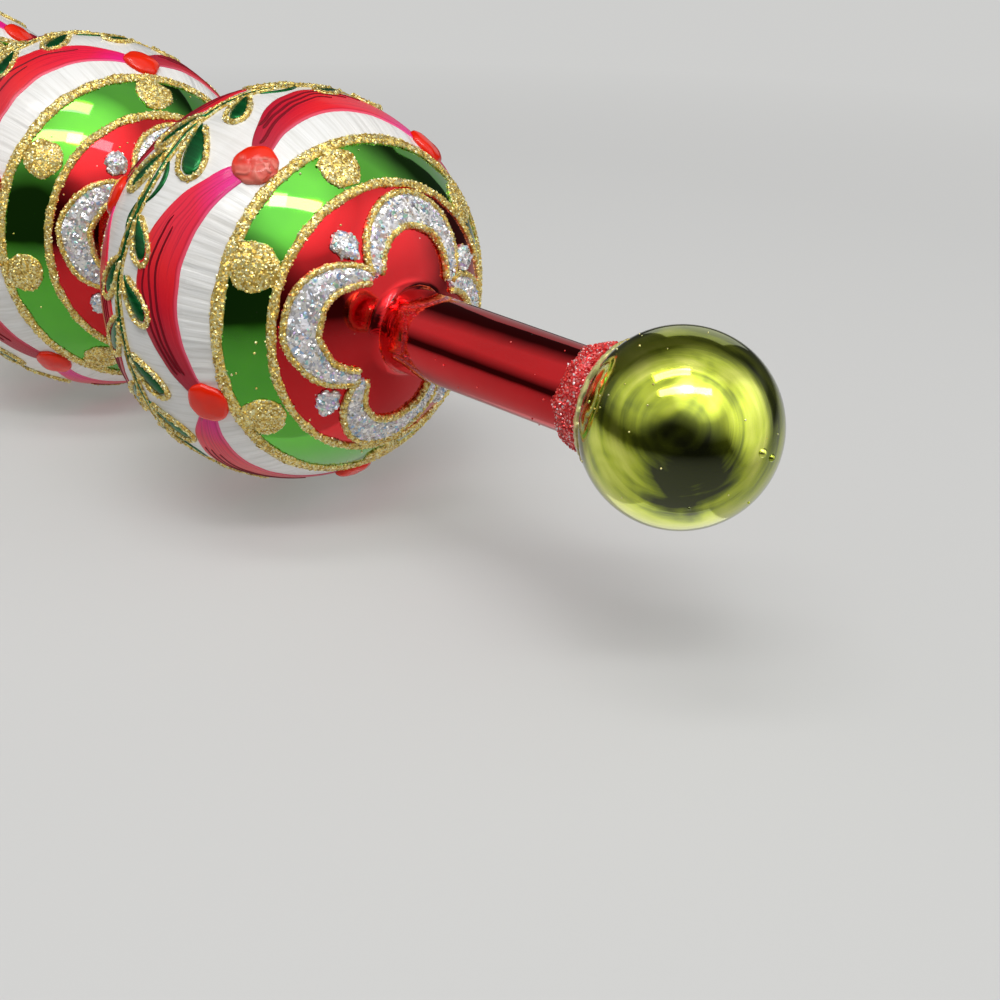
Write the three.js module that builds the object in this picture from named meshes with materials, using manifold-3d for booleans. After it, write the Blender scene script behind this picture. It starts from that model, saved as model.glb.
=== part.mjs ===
import * as THREE from "three";
import { mergeVertices } from "three/addons/utils/BufferGeometryUtils.js";
import Module from "manifold-3d";

// A blown-glass drop ornament: balls on one stem, a small glass ball on its tip, raised glitter and
// enamel on every ball, and a crown cap with a wire clip and a hanging ring at the top.
// Lengths are in millimetres, angles in degrees. +Z is up, and the origin is where a hook bears on
// the inside of the ring.

// Clearances
const SEAT_GAP = 0.3;
const TRIM_GAP = 0.6;

// Hanging ring
const RING_BORE = 10.0;
const RING_WIRE = 1.2;

// Wire clip
const CLIP_WIRE = 0.9;
const CLIP_LOOP_WIDTH = 4.4;
const CLIP_LOOP_ROOM = 2.8;
const CLIP_LEG_LENGTH = 24.0;
const CLIP_LEG_GAP = 0.5;

// Crown cap
const CAP_SHEET = 0.5;
const CAP_DEPTH = 7.0;
const CAP_FLARE = 1.4;
const CAP_ROUNDING = 1.0;
const CAP_NECK_GAP = 0.7;

// Blown glass: balls from the tip end up, their necks and the stem
const BALL_RADII = [25.0, 26.9, 28.5];
const BALL_FLATNESS = 0.902;
const GLASS_WALL = 1.0;
const WAIST_RADIUS = 6.0;
const WAIST_LENGTH = 6.1;
const NECK_RADIUS = 6.0;
const NECK_LENGTH = 7.5;
const STEM_ROOT_RADIUS = 5.1;
const STEM_TIP_RADIUS = 4.65;
const STEM_LENGTH = 30.9;
const STEM_SOCKET = 5.0;
const JOIN_FILLET = 1.2;

// Small ball on the tip and the glitter collar that glues it on
const TIP_RADIUS = 10.05;
const TIP_WALL = 1.0;
const LIP_WALL = 0.9;
const LIP_HEIGHT = 0.6;
const COLLAR_LENGTH = 3.9;
const COLLAR_THICKNESS = 0.5;
const COLLAR_FOOT_RADIUS = 7.5;
const COLLAR_BULGE = 0.35;

// Raised decoration: its latitudes count from a ball's equator, and it spans these angles
const BAND_EQUATOR_LATITUDE = { low: 33.8, high: 36.4 };
const BAND_POLE_LATITUDE = { low: 48.3, high: 51.0 };
const BAND_DOT_HALF_ANGLE = 7.0;
const BAND_THICKNESS = 0.5;
const SWAG_LOW_LATITUDE = 52.3;
const SWAG_HALF_ANGLE = 5.2;
const SWAG_CUSP_HALF_ANGLE = 2.5;
const SWAG_THICKNESS = 0.8;
const SWAGS_PER_SIDE = 4;
const SILVER_DOT_LATITUDE = 59.5;
const SILVER_DOT_RADIUS = 1.6;
const GARLANDS_PER_SIDE = 5;
const GARLAND_END_LATITUDE = { low: 22.5, high: 29.5 };
const GARLAND_MIDDLE_LATITUDE = { low: 7.5, high: 22.5 };
const GARLAND_THICKNESS = 0.4;
const BERRY_HALF_ANGLE = 5.1;
const BERRY_THICKNESS = 1.0;
const VINE_HALF_ANGLE = 0.8;
const VINE_WAVE_ANGLE = 0.8;
const VINE_THICKNESS = 0.5;
const LEAF_PAIRS = 18;
const LEAF_REACH_ANGLE = 13.5;
const LEAF_LEAN_ANGLE = -12.0;
const LEAF_FOOT_ANGLE = 4.0;
const LEAF_WIDTH_ANGLE = 7.0;

// Turns about +Z where each ball's berries and swags start and where its gold dots sit
const PATTERN_ANGLES = [
  { berry: 236.5, swag: 238.0, goldDots: [22, 88, 153, 210, 259, 323] },
  { berry: 206.0, swag: 240.0, goldDots: [22, 73, 124, 176, 222, 280, 331] },
  { berry: 225.0, swag: 250.0, goldDots: [25, 77, 128, 180, 231, 282, 334] },
];

// Facets
const GLASS_SIDES = 28;
const BALL_STEP = 15;
const TIP_SIDES = 24;
const WIRE_SIDES = 6;

const COLOURS = {
  gold: { color: 0xd9b24a, roughness: 0.45, metalness: 0.8 },
  silver: { color: 0xc9d0dc, roughness: 0.4, metalness: 0.8 },
  glass: { color: 0xb01020, roughness: 0.1, metalness: 0.6 },
  green: { color: 0x9ab52a, roughness: 0.08, metalness: 0.6 },
  collar: { color: 0xc82a34, roughness: 0.5, metalness: 0.4 },
  enamel: { color: 0xc22338, roughness: 0.35, metalness: 0.0 },
  leaf: { color: 0x1f6b3a, roughness: 0.4, metalness: 0.3 },
};

const wasm = await Module();
wasm.setup();

const ornament = new THREE.Group();

function addPiece(name, geometry, colour) {
  const mesh = new THREE.Mesh(geometry, new THREE.MeshStandardMaterial(COLOURS[colour]));
  mesh.name = name;
  ornament.add(mesh);
  return mesh;
}

function degrees(angle) {
  return (angle * 180) / Math.PI;
}

function radians(angle) {
  return (angle * Math.PI) / 180;
}

// Turns a profile of [radius, height] points about Z.
function turned(profile, sides) {
  const points = profile.map(([radius, height]) => new THREE.Vector2(radius, height));
  return new THREE.LatheGeometry(points, sides).rotateX(Math.PI / 2);
}

function toSolid(geometry) {
  const bare = geometry.clone();
  bare.deleteAttribute("normal");
  bare.deleteAttribute("uv");
  const merged = mergeVertices(bare, 1e-4);
  return new wasm.Manifold(
    new wasm.Mesh({
      numProp: 3,
      vertProperties: merged.attributes.position.array,
      triVerts: new Uint32Array(merged.index.array),
    }),
  );
}

function toGeometry(solid) {
  const mesh = solid.getMesh();
  const geometry = new THREE.BufferGeometry();
  geometry.setAttribute("position", new THREE.BufferAttribute(mesh.vertProperties, 3));
  geometry.setIndex(new THREE.BufferAttribute(mesh.triVerts, 1));
  return geometry;
}

// Heights, worked down from the hook's bearing point
const ringWireRadius = RING_WIRE / 2;
const clipWireRadius = CLIP_WIRE / 2;
const ringMiddleRadius = RING_BORE / 2 + ringWireRadius;
const ringMiddleZ = -RING_BORE / 2;
const ringFootZ = ringMiddleZ - ringMiddleRadius;
const loopTopZ = ringFootZ + ringWireRadius + SEAT_GAP + clipWireRadius;
const capTopZ = ringFootZ - ringWireRadius - CLIP_LOOP_ROOM;
const capCeilingZ = capTopZ - CAP_SHEET;
const neckRimZ = capCeilingZ - SEAT_GAP;

// Balls, from the tip end up
function stackBalls() {
  const balls = BALL_RADII.map((radius) => ({ radius, pole: radius * BALL_FLATNESS }));
  let topZ = neckRimZ - NECK_LENGTH;
  for (const ball of [...balls].reverse()) {
    ball.z = topZ - ball.pole;
    topZ = ball.z - ball.pole - WAIST_LENGTH;
  }
  return balls;
}

const balls = stackBalls();
const lowestPoleZ = balls[0].z - balls[0].pole;
const topPoleZ = neckRimZ - NECK_LENGTH;
const stemSeatZ = lowestPoleZ - STEM_LENGTH;
const stemEndZ = stemSeatZ - STEM_SOCKET;
const lipBore = STEM_TIP_RADIUS + SEAT_GAP;
const lipRadius = lipBore + LIP_WALL;
const tipZ = stemSeatZ - LIP_HEIGHT - Math.sqrt(TIP_RADIUS ** 2 - lipRadius ** 2);

// A point on a ball, raised off its glass by lift along the surface's own direction.
function ballProfile(ball, latitude, lift) {
  const cos = Math.cos(radians(latitude));
  const sin = Math.sin(radians(latitude));
  const slope = Math.hypot(cos * BALL_FLATNESS, sin);
  const radius = ball.radius * cos + (lift * cos * BALL_FLATNESS) / slope;
  const height = ball.z + ball.pole * sin + (lift * sin) / slope;
  return [radius, height];
}

function ballPoint(ball, turn, latitude, lift) {
  const [radius, height] = ballProfile(ball, latitude, lift);
  return [radius * Math.cos(radians(turn)), radius * Math.sin(radians(turn)), height];
}

// The latitude where a tube of this radius, with its fillet, leaves a ball.
function filletLatitude(ball, tubeRadius) {
  return degrees(Math.acos((tubeRadius + JOIN_FILLET) / ball.radius));
}

// The fillet between a ball and a tube, from the ball to the tube; side is +1 above and -1 below.
function filletPoints(ball, tubeRadius, side) {
  const latitude = filletLatitude(ball, tubeRadius);
  const [startRadius, startZ] = ballProfile(ball, side * latitude, 0);
  const cornerZ = startZ + (side * (startRadius - tubeRadius) * BALL_FLATNESS) / Math.tan(radians(latitude));
  const curve = new THREE.QuadraticBezierCurve(
    new THREE.Vector2(startRadius, startZ),
    new THREE.Vector2(tubeRadius, cornerZ),
    new THREE.Vector2(tubeRadius, cornerZ + side * JOIN_FILLET),
  );
  return curve.getPoints(3).map((point) => [point.x, point.y]);
}

// One ball's outside with the fillets to the tubes below and above it, from the bottom up.
function ballOutside(ball, lowerTube, upperTube) {
  const low = -filletLatitude(ball, lowerTube);
  const high = filletLatitude(ball, upperTube);
  const steps = Math.round((high - low) / BALL_STEP);
  const surface = [];
  for (let i = 1; i < steps; i += 1) {
    surface.push(ballProfile(ball, low + ((high - low) * i) / steps, 0));
  }
  return [...filletPoints(ball, lowerTube, -1).reverse(), ...surface, ...filletPoints(ball, upperTube, 1)];
}

// One ball's inside, from the bottom up.
function ballInside(ball, lowerBore, upperBore) {
  const points = [[lowerBore, ball.z - ball.pole]];
  for (const latitude of [-68, -45, -22.5, 0, 22.5, 45, 68]) {
    points.push(ballProfile(ball, latitude, -GLASS_WALL));
  }
  points.push([upperBore, ball.z + ball.pole]);
  return points;
}

function tubeBelow(index) {
  return index === 0 ? STEM_ROOT_RADIUS : WAIST_RADIUS;
}

function tubeAbove(index) {
  return index === balls.length - 1 ? NECK_RADIUS : WAIST_RADIUS;
}

// The blown body: one open shell from the closed stem end to the neck's rim.
function glassBody() {
  const outside = [
    [0, stemEndZ],
    [STEM_TIP_RADIUS * 0.7, stemEndZ + STEM_TIP_RADIUS * 0.12],
    [STEM_TIP_RADIUS, stemEndZ + STEM_TIP_RADIUS * 0.5],
    [STEM_TIP_RADIUS, stemSeatZ + COLLAR_LENGTH],
  ];
  const inside = [
    [0, stemEndZ + GLASS_WALL],
    [STEM_TIP_RADIUS - GLASS_WALL, stemEndZ + GLASS_WALL + STEM_TIP_RADIUS * 0.5],
  ];
  balls.forEach((ball, i) => {
    outside.push(...ballOutside(ball, tubeBelow(i), tubeAbove(i)));
    inside.push(...ballInside(ball, tubeBelow(i) - GLASS_WALL, tubeAbove(i) - GLASS_WALL));
  });
  outside.push([NECK_RADIUS, neckRimZ]);
  inside.push([NECK_RADIUS - GLASS_WALL, neckRimZ]);
  return turned([...outside, ...inside.reverse()], GLASS_SIDES);
}

// The hollow ball on the tip, open at the lip that sits over the stem's end.
function tipBall() {
  const outerLip = degrees(Math.acos(lipRadius / TIP_RADIUS));
  const innerRadius = TIP_RADIUS - TIP_WALL;
  const innerLip = degrees(Math.acos(lipBore / innerRadius));
  const outside = [];
  const inside = [];
  const steps = 9;
  for (let i = 0; i <= steps; i += 1) {
    const outer = radians(-90 + ((outerLip + 90) * i) / steps);
    const inner = radians(-90 + ((innerLip + 90) * i) / steps);
    outside.push([TIP_RADIUS * Math.cos(outer), tipZ + TIP_RADIUS * Math.sin(outer)]);
    inside.push([innerRadius * Math.cos(inner), tipZ + innerRadius * Math.sin(inner)]);
  }
  outside[0][0] = 0;
  inside[0][0] = 0;
  return turned([...outside, [lipRadius, stemSeatZ], [lipBore, stemSeatZ], ...inside.reverse()], TIP_SIDES);
}

// Glitter glue round the stem: a cone that spreads over the tip ball's lip and onto its shoulder.
function tipCollar() {
  const bore = STEM_TIP_RADIUS + SEAT_GAP;
  const sleeve = lipRadius + SEAT_GAP;
  const low = stemSeatZ + SEAT_GAP;
  const high = stemSeatZ + COLLAR_LENGTH;
  const overTip = (radius, lift) => {
    const share = (TIP_RADIUS + lift) / (TIP_RADIUS + SEAT_GAP);
    return [radius * share, tipZ + Math.sqrt((TIP_RADIUS + SEAT_GAP) ** 2 - radius ** 2) * share];
  };
  const foot = overTip(COLLAR_FOOT_RADIUS, SEAT_GAP + COLLAR_THICKNESS * 0.7);
  const head = [bore + COLLAR_THICKNESS, high];
  const belly = [(foot[0] + head[0]) / 2 + COLLAR_BULGE, (foot[1] + head[1]) / 2];
  const profile = [
    [bore, low],
    [sleeve, low],
    overTip(sleeve, SEAT_GAP),
    overTip((sleeve + COLLAR_FOOT_RADIUS) / 2, SEAT_GAP),
    overTip(COLLAR_FOOT_RADIUS, SEAT_GAP),
    foot,
    belly,
    head,
    [bore, high],
    [bore, low],
  ];
  return turned(profile, TIP_SIDES);
}

const capInnerRadius = NECK_RADIUS + CAP_NECK_GAP;
const capOuterRadius = capInnerRadius + CAP_SHEET;

// A stamped cup over the neck, with two holes for the clip's wire.
function crownCap() {
  const hemZ = capTopZ - CAP_DEPTH;
  const flareZ = capTopZ - CAP_DEPTH * 0.5;
  const profile = [
    [0, capCeilingZ],
    [capInnerRadius, capCeilingZ],
    [capInnerRadius, flareZ],
    [capInnerRadius + CAP_FLARE, hemZ],
    [capOuterRadius + CAP_FLARE, hemZ],
    [capOuterRadius, flareZ],
    [capOuterRadius, capTopZ - CAP_ROUNDING],
    [capOuterRadius - CAP_ROUNDING, capTopZ],
    [0, capTopZ],
  ];
  let cup = toSolid(turned(profile, GLASS_SIDES));
  for (const side of [-1, 1]) {
    const hole = new THREE.CylinderGeometry(
      clipWireRadius + SEAT_GAP,
      clipWireRadius + SEAT_GAP,
      4 * CAP_SHEET,
      12,
    );
    hole.rotateX(Math.PI / 2);
    hole.translate((side * CLIP_LOOP_WIDTH) / 2, 0, capTopZ - CAP_SHEET / 2);
    cup = cup.subtract(toSolid(hole));
  }
  return toGeometry(cup);
}

function circleShape(radius, sides) {
  const points = [];
  for (let i = 0; i < sides; i += 1) {
    const angle = (i * 2 * Math.PI) / sides;
    points.push(new THREE.Vector2(radius * Math.cos(angle), radius * Math.sin(angle)));
  }
  return new THREE.Shape(points);
}

// One bent wire: a leg inside the neck, out through the cap, over in a loop, and back the same way.
function springClip() {
  const legX = NECK_RADIUS - GLASS_WALL - CLIP_LEG_GAP - clipWireRadius;
  const loopX = CLIP_LOOP_WIDTH / 2;
  const loopZ = loopTopZ - loopX;
  const holeZ = capCeilingZ - CLIP_WIRE;
  const shoulderZ = holeZ - 2 * Math.abs(legX - loopX);
  const footZ = capCeilingZ - CLIP_LEG_LENGTH;
  const left = [
    new THREE.Vector3(-legX, 0, footZ),
    new THREE.Vector3(-legX, 0, (footZ + shoulderZ) / 2),
    new THREE.Vector3(-legX, 0, shoulderZ),
    new THREE.Vector3(-loopX, 0, holeZ),
    new THREE.Vector3(-loopX, 0, (holeZ + loopZ) / 2),
  ];
  const arch = [];
  for (const angle of [180, 150, 120, 90, 60, 30, 0]) {
    const x = loopX * Math.cos(radians(angle));
    arch.push(new THREE.Vector3(x, 0, loopZ + loopX * Math.sin(radians(angle))));
  }
  const right = left.map((point) => new THREE.Vector3(-point.x, 0, point.z)).reverse();
  const path = new THREE.CatmullRomCurve3([...left, ...arch, ...right], false, "centripetal");
  return new THREE.ExtrudeGeometry(circleShape(clipWireRadius, WIRE_SIDES), {
    steps: 56,
    bevelEnabled: false,
    extrudePath: path,
  });
}

function hangingRing() {
  const ring = new THREE.TorusGeometry(ringMiddleRadius, ringWireRadius, 8, 28);
  return ring.rotateY(Math.PI / 2).translate(0, 0, ringMiddleZ);
}

// A thin closed solid lying on a ball, built from a grid that runs all the way round it.
// corner(column, row) gives a grid point's turn, latitude and thickness, filled(column, row) says
// which cells hold material, and side is -1 for the half of the ball that faces the tip.
function layOnBall(ball, side, columns, rows, corner, filled) {
  const positions = [];
  for (let i = 0; i < columns; i += 1) {
    for (let j = 0; j <= rows; j += 1) {
      const { turn, latitude, thickness } = corner(i, j);
      positions.push(...ballPoint(ball, turn, side * latitude, SEAT_GAP));
      positions.push(...ballPoint(ball, turn, side * latitude, SEAT_GAP + thickness));
    }
  }
  const vertex = (i, j, layer) => (((i + columns) % columns) * (rows + 1) + j) * 2 + layer;
  const holds = (i, j) => j >= 0 && j < rows && filled((i + columns) % columns, j);
  const triangles = [];
  const addQuad = (a, b, c, d) => {
    if (side > 0) triangles.push(a, b, c, a, c, d);
    else triangles.push(a, c, b, a, d, c);
  };
  for (let i = 0; i < columns; i += 1) {
    for (let j = 0; j < rows; j += 1) {
      if (!holds(i, j)) continue;
      const cell = [[i, j], [i + 1, j], [i + 1, j + 1], [i, j + 1]];
      const neighbours = [[i, j - 1], [i + 1, j], [i, j + 1], [i - 1, j]];
      addQuad(...cell.map(([column, row]) => vertex(column, row, 1)));
      addQuad(...[...cell].reverse().map(([column, row]) => vertex(column, row, 0)));
      for (let k = 0; k < 4; k += 1) {
        if (holds(...neighbours[k])) continue;
        const [from, to] = [cell[k], cell[(k + 1) % 4]];
        addQuad(vertex(...to, 1), vertex(...from, 1), vertex(...from, 0), vertex(...to, 0));
      }
    }
  }
  const used = [...new Set(triangles)];
  const renumbered = new Map(used.map((index, i) => [index, i]));
  const geometry = new THREE.BufferGeometry();
  const kept = used.flatMap((index) => positions.slice(index * 3, index * 3 + 3));
  geometry.setAttribute("position", new THREE.Float32BufferAttribute(kept, 3));
  geometry.setIndex(triangles.map((index) => renumbered.get(index)));
  return geometry;
}

// How far a turn lies from the nearest middle between marks, as a share from 0 there to 1 at a mark.
function shareToMark(turn, firstMark, marks) {
  const pitch = 360 / marks;
  const past = (((turn - firstMark) % pitch) + pitch) % pitch;
  return Math.abs(past / pitch - 0.5) * 2;
}

function mixed(middle, end, share) {
  return middle + (end - middle) * share ** 2;
}

// The turn that follows one in a list that goes round.
function nextTurn(turns, index) {
  return index + 1 < turns.length ? turns[index + 1] : turns[0] + 360;
}

// Two glitter lines round a ball, bridged by round dots across the green band between them.
function goldBand(ball, side, pattern) {
  const perDot = 4;
  const columns = perDot * pattern.goldDots.length;
  const lineMiddle = (BAND_EQUATOR_LATITUDE.high + BAND_POLE_LATITUDE.low) / 2;
  const rowsAt = [
    BAND_EQUATOR_LATITUDE.low,
    BAND_EQUATOR_LATITUDE.high,
    lineMiddle,
    BAND_POLE_LATITUDE.low,
    BAND_POLE_LATITUDE.high,
  ];
  const dotHalf = BAND_DOT_HALF_ANGLE / Math.cos(radians(lineMiddle));
  const corner = (i, j) => {
    const index = Math.floor(i / perDot);
    const dot = pattern.goldDots[index];
    const pitch = nextTurn(pattern.goldDots, index) - dot;
    const halfHere = Math.min(j === 2 ? dotHalf : dotHalf * 0.6, pitch * 0.4);
    const turn = dot + [-halfHere, halfHere, pitch * 0.42, pitch * 0.58][i % perDot];
    return { turn, latitude: rowsAt[j], thickness: BAND_THICKNESS };
  };
  const filled = (i, j) => j === 0 || j === 3 || i % perDot === 0;
  return layOnBall(ball, side, columns, rowsAt.length - 1, corner, filled);
}

// The scalloped silver ring round a ball's pole, its cusps pointing to the pole.
function silverSwag(ball, side, pattern, tubeRadius) {
  const columns = 8 * SWAGS_PER_SIDE;
  const highest = degrees(Math.acos((tubeRadius + JOIN_FILLET + TRIM_GAP) / ball.radius));
  const corner = (i, j) => {
    const turn = pattern.swag + (i * 360) / columns;
    const share = shareToMark(turn, pattern.swag, SWAGS_PER_SIDE);
    const middle = mixed(SWAG_LOW_LATITUDE + SWAG_HALF_ANGLE, highest - SWAG_CUSP_HALF_ANGLE, share);
    const half = mixed(SWAG_HALF_ANGLE, SWAG_CUSP_HALF_ANGLE, share);
    return { turn, latitude: middle + (j === 0 ? -half : half), thickness: SWAG_THICKNESS };
  };
  return layOnBall(ball, side, columns, 1, corner, () => true);
}

// A round silver dab under a cusp of the swags: a low six-sided drum following the ball.
function silverDot(ball, side, turn) {
  const sides = 6;
  const positions = [];
  const halfLatitude = degrees(SILVER_DOT_RADIUS / ball.radius);
  const halfTurn = halfLatitude / Math.cos(radians(SILVER_DOT_LATITUDE));
  const lifts = [SEAT_GAP, SEAT_GAP + SWAG_THICKNESS];
  for (const lift of lifts) {
    positions.push(...ballPoint(ball, turn, side * SILVER_DOT_LATITUDE, lift));
    for (let i = 0; i < sides; i += 1) {
      const angle = (i * 2 * Math.PI) / sides;
      const latitude = SILVER_DOT_LATITUDE + halfLatitude * Math.sin(angle);
      positions.push(...ballPoint(ball, turn + halfTurn * Math.cos(angle), side * latitude, lift));
    }
  }
  const triangles = [];
  const addTriangle = (a, b, c) => {
    if (side > 0) triangles.push(a, b, c);
    else triangles.push(a, c, b);
  };
  const top = sides + 1;
  for (let i = 0; i < sides; i += 1) {
    const here = 1 + i;
    const next = 1 + ((i + 1) % sides);
    addTriangle(top, top + here, top + next);
    addTriangle(0, next, here);
    addTriangle(top + next, top + here, here);
    addTriangle(top + next, here, next);
  }
  const geometry = new THREE.BufferGeometry();
  geometry.setAttribute("position", new THREE.Float32BufferAttribute(positions, 3));
  geometry.setIndex(triangles);
  return geometry;
}

function garlandEdges(turn, pattern) {
  const share = shareToMark(turn, pattern.berry, GARLANDS_PER_SIDE);
  return {
    low: mixed(GARLAND_MIDDLE_LATITUDE.low, GARLAND_END_LATITUDE.low, share),
    high: mixed(GARLAND_MIDDLE_LATITUDE.high, GARLAND_END_LATITUDE.high, share),
  };
}

// Painted garlands hung between enamel berries, one unbroken wreath round the ball.
function berryGarland(ball, side, pattern) {
  const perGarland = 6;
  const columns = perGarland * GARLANDS_PER_SIDE;
  const berryMiddle = (GARLAND_END_LATITUDE.low + GARLAND_END_LATITUDE.high) / 2 + 1;
  const corner = (i, j) => {
    const turn = pattern.berry + (i * 360) / columns;
    const atBerry = i % perGarland === 0;
    const edges = garlandEdges(turn, pattern);
    const low = atBerry ? berryMiddle - BERRY_HALF_ANGLE : edges.low;
    const high = atBerry ? berryMiddle + BERRY_HALF_ANGLE : edges.high;
    const thickness = atBerry && j === 1 ? BERRY_THICKNESS : GARLAND_THICKNESS;
    return { turn, latitude: low + ((high - low) * j) / 2, thickness };
  };
  return layOnBall(ball, side, columns, 2, corner, () => true);
}

// The wavy vine round the equator, with a leaf above and below at each step.
function leafVine(ball, pattern) {
  const columns = 2 * LEAF_PAIRS;
  const pitch = 360 / LEAF_PAIRS;
  const reachAt = (turn) => Math.min(LEAF_REACH_ANGLE, garlandEdges(turn, pattern).low - TRIM_GAP * 2);
  const corner = (i, j) => {
    const foot = pattern.berry + Math.floor(i / 2) * pitch;
    const inner = j === 1 || j === 2;
    const wave = VINE_WAVE_ANGLE * Math.sin(radians(foot * 9));
    const width = inner ? LEAF_FOOT_ANGLE : LEAF_WIDTH_ANGLE;
    const lean = inner ? 0 : LEAF_LEAN_ANGLE;
    const turn = foot + lean + (i % 2 === 0 ? -width / 2 : width / 2);
    const free = Math.min(reachAt(foot + lean - width / 2), reachAt(foot + lean + width / 2));
    const reach = inner ? VINE_HALF_ANGLE : free;
    const latitude = (j < 2 ? -reach : reach) + (inner ? wave : 0);
    return { turn, latitude, thickness: VINE_THICKNESS };
  };
  return layOnBall(ball, 1, columns, 3, corner, (i, j) => j === 1 || i % 2 === 0);
}

addPiece("hanging_ring", hangingRing(), "gold");
addPiece("spring_clip", springClip(), "silver");
addPiece("crown_cap", crownCap(), "gold");
addPiece("glass_body", glassBody(), "glass");
addPiece("tip_ball", tipBall(), "green");
addPiece("tip_collar", tipCollar(), "collar");

const BALL_NAMES = ["lower", "middle", "upper"];
balls.forEach((ball, index) => {
  const pattern = PATTERN_ANGLES[index];
  const name = BALL_NAMES[index];
  const halves = [
    ["tip_side", -1, tubeBelow(index)],
    ["cap_side", 1, tubeAbove(index)],
  ];
  for (const [sideName, side, tube] of halves) {
    addPiece(`gold_band_${name}_${sideName}`, goldBand(ball, side, pattern), "gold");
    addPiece(`silver_swag_${name}_${sideName}`, silverSwag(ball, side, pattern, tube), "silver");
    addPiece(`berry_garland_${name}_${sideName}`, berryGarland(ball, side, pattern), "enamel");
    for (let i = 0; i < SWAGS_PER_SIDE; i += 1) {
      const turn = pattern.swag + (i * 360) / SWAGS_PER_SIDE;
      addPiece(`silver_dot_${name}_${sideName}_${i + 1}`, silverDot(ball, side, turn), "silver");
    }
  }
  addPiece(`leaf_vine_${name}`, leafVine(ball, pattern), "leaf");
});

export default ornament;
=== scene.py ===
import math
import random

import bmesh
import bpy
from mathutils import Matrix, Vector, noise


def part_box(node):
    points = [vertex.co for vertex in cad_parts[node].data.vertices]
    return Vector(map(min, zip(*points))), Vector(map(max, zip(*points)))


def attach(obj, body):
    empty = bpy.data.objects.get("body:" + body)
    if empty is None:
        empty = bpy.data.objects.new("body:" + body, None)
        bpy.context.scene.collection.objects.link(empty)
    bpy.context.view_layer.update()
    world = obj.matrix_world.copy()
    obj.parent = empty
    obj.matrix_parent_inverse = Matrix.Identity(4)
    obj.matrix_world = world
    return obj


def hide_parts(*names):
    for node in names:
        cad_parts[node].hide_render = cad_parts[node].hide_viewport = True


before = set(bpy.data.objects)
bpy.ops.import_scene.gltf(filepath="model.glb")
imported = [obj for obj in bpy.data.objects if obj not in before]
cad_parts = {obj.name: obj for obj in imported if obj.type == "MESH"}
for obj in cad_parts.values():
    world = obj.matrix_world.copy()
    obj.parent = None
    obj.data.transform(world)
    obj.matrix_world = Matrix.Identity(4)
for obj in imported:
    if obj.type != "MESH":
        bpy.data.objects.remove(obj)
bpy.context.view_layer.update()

mm = 0.001  # every length below is in metres, most of them written as so many mm


# Places, as turns and latitudes in degrees

def clamped(value, low=0.0, high=1.0):
    return max(low, min(high, value))


def around(turn, radius, height):
    # the point at a turn about the ornament's axis, a distance from it and a height
    return Vector((radius * math.cos(math.radians(turn)), radius * math.sin(math.radians(turn)), height))


def polar(point):
    # a point's turn about the axis and its distance from it
    return math.degrees(math.atan2(point.y, point.x)), math.hypot(point.x, point.y)


# Small makers that every piece shares

def newObject(name, data):
    thing = bpy.data.objects.new(name, data)
    bpy.context.scene.collection.objects.link(thing)
    return thing


def finishMesh(name, bm, materials=(), smooth=True):
    mesh = bpy.data.meshes.new(name)
    bm.to_mesh(mesh)
    bm.free()
    for material in materials:
        mesh.materials.append(finishes[material])
    for face in mesh.polygons:
        face.use_smooth = smooth
    return newObject(name, mesh)


def shapedMesh(piece):
    # the mesh that a piece's modifiers or its curve make
    return bpy.data.meshes.new_from_object(piece.evaluated_get(bpy.context.evaluated_depsgraph_get()))


def addInto(target, bm, material=0):
    for face in bm.faces:
        face.material_index = material
    mesh = bpy.data.meshes.new("part")
    bm.to_mesh(mesh)
    bm.free()
    target.from_mesh(mesh)
    bpy.data.meshes.remove(mesh)


def newMarks(bm, *names):
    # numbers kept on the vertices, which the finishes and the strewing read as attributes
    return [bm.verts.layers.float.new(name) for name in names]


def closeUp(bm):
    # joins the seams and turns all faces outwards
    bmesh.ops.remove_doubles(bm, verts=bm.verts, dist=1e-7)
    bmesh.ops.recalc_face_normals(bm, faces=bm.faces)


def spun(profile, sides):
    bm = bmesh.new()
    verts = [bm.verts.new(point) for point in profile]
    edges = [bm.edges.new(pair) for pair in zip(verts, verts[1:])]
    bmesh.ops.spin(bm, geom=verts + edges, cent=(0, 0, 0), axis=(0, 0, 1), dvec=(0, 0, 0),
                   angle=2 * math.pi, steps=sides, use_merge=True)
    closeUp(bm)
    # a spin leaves its faces in any order, and the grains strewn over them follow it, so it is made fixed
    slant = Vector((1.0, 1.618, 2.718))
    bm.verts.sort(key=lambda vert: vert.co.dot(slant))
    bm.faces.sort(key=lambda face: face.calc_center_median().dot(slant))
    return bm


def install(piece, body, slot, *nodes):
    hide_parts(*nodes)
    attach(piece, body)


# Makers of shader nodes

def addNode(tree, kind, values=None, **settings):
    node = tree.nodes.new(kind)
    for key, value in settings.items():
        setattr(node, key, value)
    for key, value in (values or {}).items():
        if isinstance(value, bpy.types.NodeSocket):
            tree.links.new(value, node.inputs[key])
        else:
            node.inputs[key].default_value = value
    return node


def feed(tree, inputs, sources):
    # links a socket to each input that is named
    for label, source in sources.items():
        tree.links.new(source, inputs[label])


def calc(tree, operation, first, second=0.0, third=0.0):
    return addNode(tree, "ShaderNodeMath", {0: first, 1: second, 2: third}, operation=operation).outputs[0]


def vectorCalc(tree, operation, first, second=(0.0, 0.0, 0.0)):
    values = {0: first, ("Scale" if operation == "SCALE" else 1): second}
    node = addNode(tree, "ShaderNodeVectorMath", values, operation=operation)
    return node.outputs["Value" if operation in ("LENGTH", "DOT_PRODUCT") else "Vector"]


def vectorOf(tree, x=0.0, y=0.0, z=0.0):
    return addNode(tree, "ShaderNodeCombineXYZ", {0: x, 1: y, 2: z}).outputs[0]


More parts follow.
